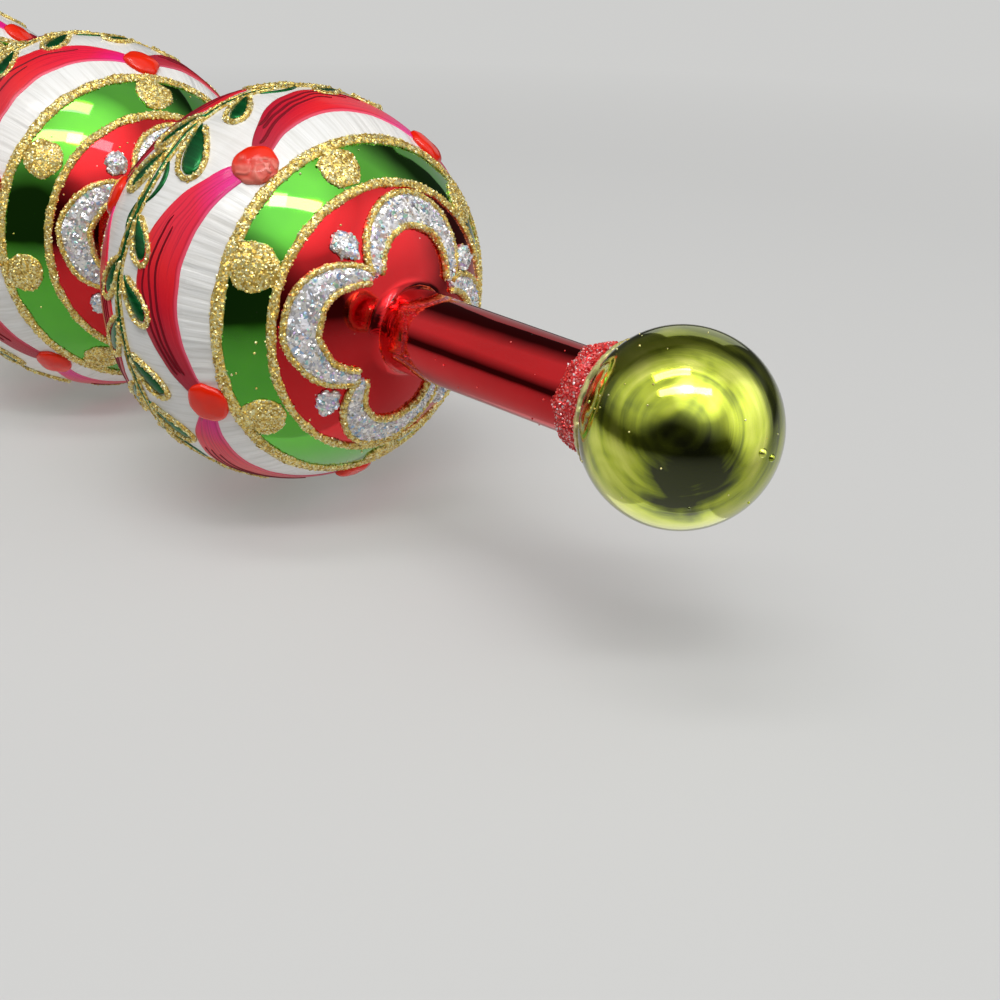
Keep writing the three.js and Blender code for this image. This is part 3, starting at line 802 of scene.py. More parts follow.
makeGlass()
print("glass body blown")


# Raised work on the balls. A path gives (turn, latitude) in degrees for a share u from 0 to 1

def ballScale(ball, latitude):
    # metres that one degree of turn and one of latitude cover
    angle = math.radians(latitude)
    east = ball["radius"] * math.cos(angle)
    north = math.hypot(ball["radius"] * math.sin(angle), ball["pole"] * math.cos(angle))
    return math.radians(east), math.radians(north)


def beside(ball, path, u, away):
    # the spot that lies a little to the left of a path
    turn, latitude = path(u)
    before, after = path(u - 0.002), path(u + 0.002)
    east, north = ballScale(ball, latitude)
    ahead = Vector(((after[0] - before[0]) * east, (after[1] - before[1]) * north))
    ahead.normalize()
    return turn - away * ahead.y / east, latitude + away * ahead.x / north


def roundedEnds(u, length, half):
    # how much of its width a strip has near its rounded ends
    left = min(u, 1 - u) * length
    return 1.0 if left >= half else math.sqrt(max(0.0, 1 - (1 - left / half) ** 2))


def rounded(value, length, half):
    # a value along a strip that drops to nothing at its rounded ends
    return lambda u: value * roundedEnds(u, length, half)


def steady(value):
    # a plain number counts as the same value all along
    return value if callable(value) else lambda u: value


def waver(turn, fineness, seed):
    # noise that closes on itself round the axis
    return noise.noise(around(turn, fineness, seed))


strip = {
    "over": 0.66,  # shares of the mesh's rows over a strip's top and under its sole
    "under": 0.34,
    "grained": (0.03, 0.64),  # rows between which grains may lie
    "sunk": 0.06 * mm,
}


def ribbon(ball, path, half, height, columns, rows=9, flat=2.0, spot=None, sunk=strip["sunk"], ends=True):
    # a closed raised strip along a path; half and height are metres, or give them for a share u of it
    half, height = steady(half), steady(height)
    spot = spot or (lambda u, share: beside(ball, path, u, share * half(u)))
    low, high = strip["grained"]
    bm = bmesh.new()
    bmesh.ops.create_grid(bm, x_segments=columns, y_segments=rows, size=0.5)
    top, along, across = newMarks(bm, "top", "along", "across")
    for vert in bm.verts:
        u, w = vert.co.x + 0.5, vert.co.y + 0.5
        if ends:
            u = (u + (1 - math.cos(math.pi * u)) / 2) / 2
        if w <= strip["over"]:
            share = math.cos(math.pi * w / strip["over"])
            rise = max(0.0, 1 - abs(share) ** flat) ** 0.5
        else:
            share, rise = -1 + 2 * (w - strip["over"]) / strip["under"], 0.0
        vert[top], vert[along], vert[across] = float(low < w < high), u, share
        turn, latitude = spot(u, share)
        vert.co = onBall(ball, turn, latitude, height(u) * rise - sunk)
    closeUp(bm)
    return bm


dome = {
    "grainedFrom": 0.05,  # share of a dab's height
    "lumpFineness": 1.8,
    "fullness": 0.7,  # the power that makes its sides steep
    "sunk": 0.1 * mm,
}


def dab(ball, turn, latitude, radius, height, subdivisions=3, rough=0.0, seed=0.0, stretch=1.0, frost=None):
    # a round dab that sits on the glass; frost gives the side where it has dried dull
    bm = bmesh.new()
    bmesh.ops.create_icosphere(bm, subdivisions=subdivisions, radius=1.0)
    top, along = newMarks(bm, "top", "along")
    east, north = ballScale(ball, latitude)
    for vert in bm.verts:
        x, y, z = vert.co
        vert[top] = float(z > dome["grainedFrom"])
        if frost is not None:
            vert[along] = 0.5 + 0.5 * (x * math.cos(math.radians(frost)) + y * math.sin(math.radians(frost)))
        edge = 1 + rough * noise.noise(Vector((x * dome["lumpFineness"], y * dome["lumpFineness"], seed)))
        lift = height * z ** dome["fullness"] * edge if z > 0 else dome["sunk"] * z
        place = turn + radius * stretch * x * edge / east, latitude + radius * y * edge / north
        vert.co = onBall(ball, *place, lift)
    bmesh.ops.recalc_face_normals(bm, faces=bm.faces)
    return bm


def pellet(spot, radius, subdivisions):
    bm = bmesh.new()
    bmesh.ops.create_icosphere(bm, subdivisions=subdivisions, radius=radius)
    bmesh.ops.translate(bm, vec=spot, verts=bm.verts)
    return bm


def stray(spot, radius):
    # a grain of glitter that landed beside the work
    bm = pellet(spot, radius, 1)
    tone = newMarks(bm, "top", "tone")[1]
    for vert in bm.verts:
        vert[tone] = 0.4
    return bm


def turnsBetween(marks):
    # pairs of neighbouring marks, the second one always after the first
    ordered = sorted(mark % 360 for mark in marks)
    return list(zip(ordered, ordered[1:] + [ordered[0] + 360]))


# Where each ball's painted work sits, as turns about the ornament's axis

patterns = {
    "lower": {
        "berries": (162.5, 238.9, 308.5, 20.5, 92.5),
        "capTwist": -21.9,  # turn from the tip side's berries to the cap side's
        "frosted": {238.9: -140.0},
        "goldDots": (22, 88, 153, 210.3, 259.3, 322.9),
        "silverDots": (146.2, 238.3, 332.8, 58.0),
        "cusps": (147.5, 239.5, 332.0, 58.0),
        "leaves": (159.5, 175.4, 196.5, 212.9, 243.1, 258.4, 289.0, 305.0, 335.0, 351.0, 21.0, 37.0, 67.0,
                   83.0, 113.0, 129.0),
        "leafReach": {243.1: (15.9, 12.0), 258.4: (10.6, 9.0), 212.9: (11.4, 7.9), 196.5: (10.5, 10.5),
                      175.4: (10.8, 11.9)},  # degrees of turn and of latitude
        "stalks": (229.3, 275.0, 321.0, 7.0, 53.0, 99.0, 145.0),
    },
    "middle": {
        "berries": (206.0, 281.5, 350.0, 62.0, 134.0),
        "capTwist": 17.0,
        "frosted": {62.0: 30.0},
        "goldDots": (22, 73, 124, 175.7, 222.1, 279.6, 331),
        "silverDots": (151.0, 241.9, 331.0, 60.0),
        "cusps": (150.0, 241.0, 330.5, 60.0),
        "leaves": tuple(251.0 + 40.0 * i + step for i in range(9) for step in (0.0, 18.0)),
        "leafReach": {},
        "stalks": tuple(284.0 + 40.0 * i for i in range(9)),
    },
    "upper": {
        "berries": (225.0, 297.0, 9.0, 81.0, 153.0),
        "capTwist": 0.0,
        "frosted": {},
        "goldDots": (25, 77, 128, 180, 231, 282, 334),
        "silverDots": (160.0, 250.0, 340.0, 70.0),
        "cusps": (160.0, 250.0, 340.0, 70.0),
        "leaves": tuple(229.0 + 40.0 * i + step for i in range(9) for step in (0.0, 18.0)),
        "leafReach": {},
        "stalks": tuple(262.0 + 40.0 * i for i in range(9)),
    },
}


# Glitter: flat six-sided grains strewn over the tops of the raised work

grains = {
    "gold": {"width": 0.38 * mm, "thickness": 0.15 * mm, "spacing": 0.29 * mm, "tilt": 0.75},
    "silver": {"width": 0.54 * mm, "thickness": 0.15 * mm, "spacing": 0.36 * mm, "tilt": 0.9},
    "red": {"width": 0.36 * mm, "thickness": 0.24 * mm, "spacing": 0.27 * mm, "tilt": 0.9},
}
strewing = {
    "crowding": 1.7,  # points tried in a square that is one spacing wide
    "sizes": (0.72, 1.28),  # of a grain's own
    "tones": (0.05, 1.0),
}


def grainOf(kind, look):
    bm = bmesh.new()
    bmesh.ops.create_uvsphere(bm, u_segments=6, v_segments=2, radius=look["width"] / 2)
    bmesh.ops.scale(bm, vec=(1, 1, look["thickness"] / look["width"]), verts=bm.verts)
    return finishMesh(f"{kind}Grain", bm, [f"{kind}Glitter"], smooth=False)


def keepShape(piece):
    # what a piece's modifiers make of it becomes its mesh
    mesh = shapedMesh(piece)
    piece.modifiers.clear()
    old, piece.data = piece.data, mesh
    bpy.data.meshes.remove(old)


def strewGrains(piece, kind, seed, material=0):
    # strews grains over the raised tops that have this material, and keeps the result in the mesh
    look, tilt = grains[kind], grains[kind]["tilt"]
    tree = bpy.data.node_groups.new("strewing", "GeometryNodeTree")
    for way in ("INPUT", "OUTPUT"):
        tree.interface.new_socket("Geometry", in_out=way, socket_type="NodeSocketGeometry")
    start = addNode(tree, "NodeGroupInput").outputs[0]
    top = addNode(tree, "GeometryNodeInputNamedAttribute", {"Name": "top"}, data_type="FLOAT").outputs[0]
    index = addNode(tree, "GeometryNodeInputMaterialIndex").outputs[0]
    raised = addNode(tree, "FunctionNodeCompare", {0: top, 1: 0.5}, operation="GREATER_THAN").outputs[0]
    right = addNode(tree, "FunctionNodeCompare", {2: index, 3: material}, data_type="INT", operation="EQUAL")
    chosen = addNode(tree, "FunctionNodeBooleanMath", {0: raised, 1: right.outputs[0]}, operation="AND")
    points = addNode(tree, "GeometryNodeDistributePointsOnFaces", {
        "Mesh": start, "Selection": chosen.outputs[0], "Distance Min": look["spacing"], "Seed": seed,
        "Density Max": strewing["crowding"] / look["spacing"] ** 2}, distribute_method="POISSON")
    lean = addNode(tree, "FunctionNodeRandomValue", {
        "Min": (-tilt, -tilt, 0.0), "Max": (tilt, tilt, 6.28), "Seed": seed}, data_type="FLOAT_VECTOR")
    leaned = addNode(tree, "FunctionNodeEulerToRotation", {0: lean.outputs[0]})
    turned = addNode(tree, "FunctionNodeRotateRotation", {
        "Rotation": points.outputs["Rotation"], "Rotate By": leaned.outputs[0]}, rotation_space="LOCAL")
    size, tone = (addNode(tree, "FunctionNodeRandomValue", {2: low, 3: high, "Seed": seed + shift},
                          data_type="FLOAT").outputs[1]
                  for (low, high), shift in ((strewing["sizes"], 1), (strewing["tones"], 2)))
    source = addNode(tree, "GeometryNodeObjectInfo", {"Object": chips[kind]})
    strewn = addNode(tree, "GeometryNodeInstanceOnPoints", {
        "Points": points.outputs["Points"], "Instance": source.outputs["Geometry"],
        "Rotation": turned.outputs[0], "Scale": size})
    toned = addNode(tree, "GeometryNodeStoreNamedAttribute", {
        "Geometry": strewn.outputs[0], "Name": "tone", "Value": tone}, data_type="FLOAT", domain="INSTANCE")
    joined = addNode(tree, "GeometryNodeJoinGeometry", {
        0: addNode(tree, "GeometryNodeRealizeInstances", {0: toned.outputs[0]}).outputs[0]})
    tree.links.new(start, joined.inputs[0])
    addNode(tree, "NodeGroupOutput", {0: joined.outputs[0]})
    piece.modifiers.new("grains", "NODES").node_group = tree
    keepShape(piece)
    bpy.data.node_groups.remove(tree)


chips = {kind: grainOf(kind, look) for kind, look in grains.items()}


# The makers of a half ball's work take its side, -1 for the tip's and 1 for the cap's

band = {
    "lines": ((34.7, 0.76 * mm), (49.5, 0.58 * mm)),  # latitude and half width
    "lineHeight": 0.45 * mm,
    "wander": 0.25,  # degrees that a line strays
    "swell": 0.3,  # share by which its width varies
    "dotLatitude": 41.6,
    "dotWander": 1.2,
    "dotRadius": 2.6 * mm,
    "dotSwell": 0.12,
    "dotHeight": 0.5 * mm,
    "dotRough": 0.14,
    "dotStretch": 1.04,
    "strays": 40,
    "strayLatitudes": (36, 60),
    "strayRadii": (0.09, 0.2),  # in mm
}


def makeGoldBand(ball, side, label, seed):
    bm = bmesh.new()
    for latitude, half in band["lines"]:

        def path(u):
            return 360 * u, side * (latitude + band["wander"] * waver(360 * u, 7, latitude + seed))

        def width(u):
            return half * (1 + band["swell"] * waver(360 * u, 11, latitude - seed))

        addInto(bm, ribbon(ball, path, width, band["lineHeight"], 240, ends=False))
    for mark in patterns[ball["name"]]["goldDots"]:
        radius = band["dotRadius"] * (1 + band["dotSwell"] * noise.noise(Vector((mark, seed, 0.5))))
        latitude = side * (band["dotLatitude"] + band["dotWander"] * noise.noise(Vector((seed, mark, 1.5))))
        addInto(bm, dab(ball, mark, latitude, radius, band["dotHeight"], 4, band["dotRough"], mark,
                        band["dotStretch"]))
    dice = random.Random(seed)
    for _ in range(band["strays"]):
        spot = onBall(ball, dice.uniform(0, 360), side * dice.uniform(*band["strayLatitudes"]), 0.02 * mm)
        addInto(bm, stray(spot, dice.uniform(*band["strayRadii"]) * mm))
    piece = finishMesh(f"goldBand_{label}", bm, ["goldGlitter"])
    strewGrains(piece, "gold", seed)
    install(piece, "ornament", "gold_glitter", f"gold_band_{label}")


swag = {
    "middle": 57.3,  # latitude of a scallop's middle
    "cusp": 4.2,  # degrees its ends stay clear of the fillet
    "gap": 1.5,  # degrees of turn from a cusp to its end
    "sway": 0.5,
    "half": 2.45 * mm,
    "endHalf": 1.05 * mm,
    "height": 0.6 * mm,
    "length": 19 * mm,
    "ends": (0.8 * mm, 0.7 * mm, 0.5 * mm),  # rounding of its width, its height and its edges
    "edgeHalf": 0.46 * mm,
    "edgeHeight": 0.72 * mm,
    "edgeOverlap": 0.9,
    "dotLatitude": 59.6,
    "dotWander": 0.8,
    "dotRadius": 1.65 * mm,
    "dotHeight": 0.85 * mm,
    "dotRough": 0.35,
}


def makeSilverSwag(ball, side, label, seed):
    cusp = filletLatitude(ball, side) - swag["cusp"]
    length, (widthEnd, heightEnd, edgeEnd) = swag["length"], swag["ends"]
    bm = bmesh.new()
    for first, last in turnsBetween(patterns[ball["name"]]["cusps"]):
        middle, reach = (first + last) / 2, (last - first) / 2 - swag["gap"]

        def path(u):
            share = 2 * u - 1
            turn = middle + reach * share
            bow = (cusp - swag["middle"]) * share ** 2
            return turn, side * (swag["middle"] + bow + swag["sway"] * waver(turn, 5, seed))

        def width(u):
            return swag["endHalf"] + (swag["half"] - swag["endHalf"]) * (1 - abs(2 * u - 1) ** 1.8)

        def inner(u):
            return (width(u) - swag["edgeHalf"] * swag["edgeOverlap"]) * roundedEnds(u, length, widthEnd)

        addInto(bm, ribbon(ball, path, inner, rounded(swag["height"], length, heightEnd), 44, 13, 4.0), 0)
        for edge in (-1, 1):

            def rim(u):
                return beside(ball, path, u, edge * (width(u) - swag["edgeHalf"]))

            addInto(bm, ribbon(ball, rim, rounded(swag["edgeHalf"], length, edgeEnd),
                               rounded(swag["edgeHeight"], length, edgeEnd), 56, 9), 1)
    piece = finishMesh(f"silverSwag_{label}", bm, ["silverGlitter", "goldGlitter"])
    strewGrains(piece, "silver", seed, 0)
    strewGrains(piece, "gold", seed + 7, 1)
    install(piece, "ornament", "silver_glitter", f"silver_swag_{label}")


def makeSilverDots(ball, side, label, seed):
    for i, mark in enumerate(patterns[ball["name"]]["silverDots"]):
        bm = bmesh.new()
        latitude = side * (swag["dotLatitude"] + swag["dotWander"] * noise.noise(Vector((mark, seed, 3.5))))
        shape = (swag["dotRadius"], swag["dotHeight"], 3, swag["dotRough"], mark)
        addInto(bm, dab(ball, mark, latitude, *shape))
        piece = finishMesh(f"silverDot_{label}_{i + 1}", bm, ["silverGlitter"])
        strewGrains(piece, "silver", seed + i)
        install(piece, "ornament", "silver_glitter", f"silver_dot_{label}_{i + 1}")


garland = {
    "endLow": 24.5, "endHigh": 29.6,  # latitudes of its edges at the berries
    "middleLow": 6.0, "middleHigh": 22.4,  # and halfway between them
    "gap": 1.0,  # degrees of turn from a berry's middle to its end
    "sway": 0.5,
    "height": 0.22 * mm,
    "length": 30 * mm,
    "end": 1.2 * mm,
    "strokes": (-0.56, -0.27, 0.04),  # how far across it the fine dark lines run
    "strokeStart": (0.05, 0.22),
    "strokeRun": (0.38, 0.6),
    "strokeHook": (0.1, 0.3),
    "strokeHalf": 0.25 * mm,
    "strokeHeight": 0.06 * mm,
    "strokeLength": 11 * mm,
    "strokeEnd": 0.5 * mm,
    "strokeSunk": 0.02 * mm,
    "berryLatitude": 27.4,
    "berryRadius": 2.5 * mm,
    "berryHeight": 1.05 * mm,
    "berryRough": 0.12,
    "berryStretch": 1.06,
}


def garlandEdges(share):
    low = garland["middleLow"] + (garland["endLow"] - garland["middleLow"]) * abs(share) ** 1.6
    high = garland["middleHigh"] + (garland["endHigh"] - garland["middleHigh"]) * share ** 2
    return low, high


def makeGarland(ball, side, label, seed):
    bm = bmesh.new()
    pattern = patterns[ball["name"]]
    marks = [mark + (pattern["capTwist"] if side > 0 else 0) for mark in pattern["berries"]]
    for i, (first, last) in enumerate(turnsBetween(marks)):
        middle, reach = (first + last) / 2, (last - first) / 2 - garland["gap"]

        def spot(u, across):
            share = 2 * u - 1
            turn = middle + reach * share
            low, high = garlandEdges(share)
            sway = garland["sway"] * waver(turn, 9, seed + round(across)) * (1.6 if across < 0 else 0.7)
            return turn, side * ((low + high) / 2 + (high - low) / 2 * across + sway)

        height = rounded(garland["height"], garland["length"], garland["end"])
        addInto(bm, ribbon(ball, None, None, height, 60, 24, 10.0, spot), 0)
        dice = random.Random(seed * 10 + i)
        for across in garland["strokes"]:
            start, run = dice.uniform(*garland["strokeStart"]), dice.uniform(*garland["strokeRun"])
            hook = dice.choice((-1, 1)) * dice.uniform(*garland["strokeHook"])

            def line(u):
                swerve = 0.05 * math.sin(5 * u + seed)
                return spot(start + run * u, across + swerve + hook * max(0.0, 1 - u / 0.12) ** 2)

            def thin(u):
                taper = garland["strokeHalf"] * (1.25 - 0.6 * u)
                return taper * roundedEnds(u, garland["strokeLength"], garland["strokeEnd"])

            addInto(bm, ribbon(ball, line, thin, garland["height"] + garland["strokeHeight"], 40, 6,
                               sunk=garland["strokeSunk"]), 1)
    for mark in marks:
        addInto(bm, dab(ball, mark, side * garland["berryLatitude"], garland["berryRadius"],
                        garland["berryHeight"], 4, garland["berryRough"], mark, garland["berryStretch"],
                        pattern["frosted"].get(mark)), 2)
    piece = finishMesh(f"berryGarland_{label}", bm, ["garlandEnamel", "garlandStroke", "berryEnamel"])
    install(piece, "ornament", "red_enamel", f"berry_garland_{label}")


vine = {
    "latitude": 1.2,
    "wave": 1.0,  # degrees of latitude
    "half": 0.34 * mm,
    "height": 0.3 * mm,
    "goldHalf": 0.12 * mm,
    "goldHeight": 0.34 * mm,
    "goldBeside": 0.6 * mm,
    "leafReach": (12.5, 9.5),  # turn and latitude from a leaf's tip on the vine to its round end
    "leafFoot": {-1: 1.6, 1: 0.9},  # degrees from the vine to a leaf's tip, on either side
    "leafSlimness": 0.235,
    "leafHeight": 0.34 * mm,
    "leafEnd": 0.8 * mm,
    "outline": 0.5 * mm,  # how far the gold runs outside the leaf's green
    "outlineLonger": 1.1 * mm,
    "outlineBack": 0.6 * mm,
    "outlineHalf": 0.36 * mm,
    "outlineHeight": 0.5 * mm,
    "outlineEnd": 1.0 * mm,
    "outlineFrom": 0.75,  # angle along the leaf's edge where the gold starts
    "capSideShift": -11.3,  # turn between the leaves on either side of the vine
    "stalkReach": 13.3,
    "stalkRise": (0.3, 3.2, 1.1),  # latitudes of its foot, its arch and its climb
    "stalkHalf": 0.48 * mm,
    "stalkHeight": 0.22 * mm,
    "stalkLength": 6 * mm,
    "stalkEnd": 0.6 * mm,
}


def leafSpot(ball, foot, heading, x, y):
    # a spot x along and y beside a leaf, in metres from its tip
    east, north = ballScale(ball, foot[1] + heading[1] * 0.5)
    axis = Vector((heading[0] * east, heading[1] * north)).normalized()
    return foot[0] + (x * axis.x - y * axis.y) / east, foot[1] + (x * axis.y + y * axis.x) / north


def teardrop(length, width, angle):
    return length * (1 - math.cos(angle)) / 2, width * math.sin(angle) * math.sin(angle / 2) ** 1.3


def addLeaf(bm, ball, foot, heading):
    east, north = ballScale(ball, foot[1] + heading[1] * 0.5)
    length = math.hypot(heading[0] * east, heading[1] * north)
    width = length * vine["leafSlimness"]

    def body(u):
        return leafSpot(ball, foot, heading, length * u, 0)

    def half(u):
        return teardrop(length, width, math.acos(clamped(1 - 2 * u, -1.0, 1.0)))[1]

    def outline(u):
        angle = vine["outlineFrom"] + 2 * (math.pi - vine["outlineFrom"]) * u
        x, y = teardrop(length + vine["outlineLonger"], width + vine["outline"], angle)
        return leafSpot(ball, foot, heading, x - vine["outlineBack"], y)

    height = rounded(vine["leafHeight"], length, vine["leafEnd"])
    addInto(bm, ribbon(ball, body, half, height, 18, 11, 3.0), 0)
    rimHalf, rimHeight = (rounded(vine[key], 2.6 * length, vine["outlineEnd"])
                          for key in ("outlineHalf", "outlineHeight"))
    addInto(bm, ribbon(ball, outline, rimHalf, rimHeight, 44, 7), 1)


def addStalk(bm, ball, turn, side):
    # a brush stroke of plain green between two pairs of leaves
    def path(u):
        foot, arch, climb = vine["stalkRise"]
        return turn - vine["stalkReach"] * u, side * (foot + arch * math.sin(math.pi * u) + climb * u)

    def half(u):
        return vine["stalkHalf"] * math.sin(math.pi * min(1.0, 0.06 + 0.94 * u)) ** 0.7

    height = rounded(vine["stalkHeight"], vine["stalkLength"], vine["stalkEnd"])
    addInto(bm, ribbon(ball, path, half, height, 24, 7), 0)


def makeLeafVine(ball, seed):
    bm = bmesh.new()
    pattern = patterns[ball["name"]]
    waveCount = len(pattern["stalks"])

    def stem(u):
        sway = math.sin(math.radians(360 * u * waveCount + 40 * seed))
        return 360 * u, vine["latitude"] + vine["wave"] * sway

    def half(u):
        return vine["half"] * (1 + 0.5 * waver(360 * u, 14, seed))

    addInto(bm, ribbon(ball, stem, half, vine["height"], 300, 6, ends=False), 0)
    for away in (-1, 1):

        def edge(u):
            return beside(ball, stem, u, away * vine["goldBeside"] * (1 + 0.4 * waver(360 * u, 9, away)))

        addInto(bm, ribbon(ball, edge, vine["goldHalf"], vine["goldHeight"], 300, 6, ends=False), 1)
    dice = random.Random(seed)
    for side in (-1, 1):
        for mark in pattern["leaves"]:
            seen = pattern["leafReach"].get(mark) if side < 0 else None
            turn, rise = seen or (vine["leafReach"][0] * dice.uniform(0.9, 1.1),
                                  vine["leafReach"][1] * dice.uniform(0.9, 1.12))
            tipTurn = mark if side < 0 else mark + vine["capSideShift"] + dice.uniform(-1, 1)
            foot = (tipTurn, vine["latitude"] + side * vine["leafFoot"][side])
            addLeaf(bm, ball, foot, (-turn, side * rise))
        for mark in pattern["stalks"]:
            addStalk(bm, ball, mark if side < 0 else mark + vine["capSideShift"], side)
    piece = finishMesh(f"leafVine_{ball['name']}", bm, ["leafLacquer", "goldGlitter"])
    strewGrains(piece, "gold", seed, 1)
    install(piece, "ornament", "green_enamel", f"leaf_vine_{ball['name']}")


for number, ball in enumerate(balls):
    for sideName, side in (("tip_side", -1), ("cap_side", 1)):
        for maker in (makeGoldBand, makeSilverSwag, makeSilverDots, makeGarland):
            maker(ball, side, f"{ball['name']}_{sideName}", 20 + 4 * number + side)
    makeLeafVine(ball, 40 + number)
    print(f"{ball['name']} ball dressed")


def onTip(turn, latitude, lift=0.0):
    angle, radius = math.radians(latitude), tip["radius"] + lift
    return around(turn, radius * math.cos(angle), tip["centre"] + radius * math.sin(angle))


def overTip(radius, lift):
    # the point over the tip ball's shoulder that is this far from the axis
    return onTip(0, math.degrees(math.acos(radius / (tip["radius"] + lift))), lift)


def tipArc(radius, opening, steps):
    # from the pole up to where the ball opens
    end = math.acos(opening / radius)
    angles = (-math.pi / 2 + (end + math.pi / 2) * i / steps for i in range(steps + 1))
    return [Vector((radius * math.cos(a), 0, tip["centre"] + radius * math.sin(a))) for a in angles]


def makeTipBall():
    bore, lip = tip["bore"], tip["lip"]
    profile = tipArc(tip["radius"], lip, 48)
    inwards, down = tip["lipEase"]
    profile.append(Vector((lip, 0, stemSeat - down)))
    profile.append(Vector((lip - inwards, 0, stemSeat)))
    profile.append(Vector((bore, 0, stemSeat)))
    profile += reversed(tipArc(tip["radius"] - tip["wall"], bore, 20))
    profile[0].x = profile[-1].x = 0
    bm = spun(profile, tip["sides"])
    for turn, latitude, radius in tip["bubbles"]:
        # a bubble that stands out of the glass
        addInto(bm, pellet(onTip(turn, latitude, -tip["bubbleSunk"] * radius), radius, 3))
    dice = random.Random(3)
    for _ in range(tip["strays"]):
        near = dice.random() < tip["strayShare"]
        turn = dice.gauss(*tip["strayTurn"]) if near else dice.uniform(0, 360)
        spot = onTip(turn, dice.uniform(tip["strayFrom"][near], tip["strayTo"]))
        addInto(bm, stray(spot, dice.uniform(*tip["strayRadii"]) * mm), 1)
    piece = finishMesh("tipBall", bm, ["tipGlass", "goldGlitter"])
    install(piece, "ornament", "green_glass", "tip_ball")


collar = {
    "above": 0.2 * mm,  # from the tip ball's rim to its underside
    "length": 3.1 * mm,
    "head": 0.4 * mm,  # beyond the bore
    "headDrop": 0.15 * mm,
    "sole": 0.03 * mm,  # between its sole and the ball
    "foot": 5.85 * mm,
    "footHeight": 0.5 * mm,
    "clear": 0.1 * mm,  # from the lip out to where it comes down onto the ball
    "bulge": 0.3 * mm,
    "sides": 96,
    "skin": 0.25 * mm,  # how deep its outside counts as top
    "edgeWave": 0.7 * mm,
    "lumpFineness": 700,
    "lump": 0.16 * mm,
    "strays": 30,
    "strayRadii": (0.06, 0.16),  # in mm
    "glueReach": 7.4 * mm,
    "glueSides": 180,
    "glueWrinkle": 0.22 * mm,
}


def stemRadius(height):
    low, high = stemSeat - glass["socket"] + glass["stemTip"] * 0.5, stemRoot - 0.8 * mm
    return glass["stemTip"] + (glass["stemRoot"] - glass["stemTip"]) * (height - low) / (high - low)


def glueSkirt():
    # clear glue squeezed out below the glitter, rippled where it dried on the tip ball
    near, far = collar["foot"] - 0.3 * mm, collar["glueReach"]
    rim = []
    for i in range(12):
        angle = math.radians(30 * i)
        out = 0.5 - 0.5 * math.cos(angle)
        lift = 0.1 * mm + (0.1 + 0.16 * out) * mm * math.sin(angle)
        rim.append(overTip(near + (far - near) * out, lift))
    bm = spun(rim + rim[:1], collar["glueSides"])
    for vert in bm.verts:
        # it keeps to the ball and only its reach varies
        turn, radius = polar(vert.co)
        lift = (vert.co - Vector((0, 0, tip["centre"]))).length - tip["radius"]
        edge = max(0.0, (radius - near) / (far - near))
        slope = math.degrees(math.asin((vert.co.z - tip["centre"]) / (tip["radius"] + lift)))
        slope -= (waver(turn, 5, 2.0) * 5 + waver(turn, 11, 5.0) * 2.5) * edge
        wrinkle = abs(noise.noise(Vector((turn * 0.16, edge * 2.0, 3.0)))) * collar["glueWrinkle"] * edge
        vert.co = onTip(turn, slope, lift + wrinkle * (lift > 0))
    return bm


def makeCollar():
    # a cone of glitter glue from the stem onto the tip ball's shoulder, with clear glue squeezed out below
    bore, low, high = tip["bore"], stemSeat + collar["above"], stemSeat + collar["length"]
    foot = overTip(collar["foot"], collar["footHeight"])
    head = Vector((bore + collar["head"], 0, high - collar["headDrop"]))
    inside = tip["lip"] + collar["clear"]
    profile = [Vector((bore, 0, low)), Vector((inside, 0, low))]
    profile += [overTip(inside + (collar["foot"] - tip["lip"]) * i / 4, collar["sole"]) for i in range(5)]
    profile.append(foot)
    for i in range(1, 9):
        bulge = collar["bulge"] * math.sin(math.pi * i / 8)
        profile.append(foot + (head - foot) * i / 8 + Vector((bulge, 0, bulge * 0.45)))
    profile.append(Vector((bore + 0.1 * mm, 0, high)))
    profile += [Vector((stemRadius(high) - 0.05 * mm, 0, high - 0.05 * mm)), profile[0]]
    bm = spun(profile, collar["sides"])
    top, = newMarks(bm, "top")
    for vert in bm.verts:
        turn, radius = polar(vert.co)
        line = foot.x + (head.x - foot.x) * (vert.co.z - foot.z) / (head.z - foot.z)
        outer = radius > line - collar["skin"] and vert.co.z < high - 0.1 * mm
        outer = outer or radius > bore + collar["skin"] and vert.co.z > low
        vert[top] = float(outer)
        if outer:
            share = clamped((vert.co.z - foot.z) / (high - foot.z))
            vert.co.z += waver(turn, 3.0, 4.0) * collar["edgeWave"] * share
            lump = noise.noise(vert.co * collar["lumpFineness"]) * collar["lump"]
            vert.co.xy = vert.co.xy * (1 + lump / radius)
    piece = finishMesh("tipCollar", bm, ["redGlitter", "clearGlue"])
    strewGrains(piece, "red", 5)
    bm = bmesh.new()
    bm.from_mesh(piece.data)
    addInto(bm, glueSkirt(), 1)
    dice = random.Random(8)
    for _ in range(collar["strays"]):
        turn, height = dice.uniform(0, 360), dice.uniform(high, stemRoot - 2 * mm)
        spot = around(turn, stemRadius(height) + 0.02 * mm, height)
        addInto(bm, stray(spot, dice.uniform(*collar["strayRadii"]) * mm), 0)
    bm.to_mesh(piece.data)
    bm.free()
    install(piece, "ornament", "red_glitter", "tip_collar")


makeTipBall()
makeCollar()
print("tip ball set on its collar")


# Crown cap, wire clip and hanging ring

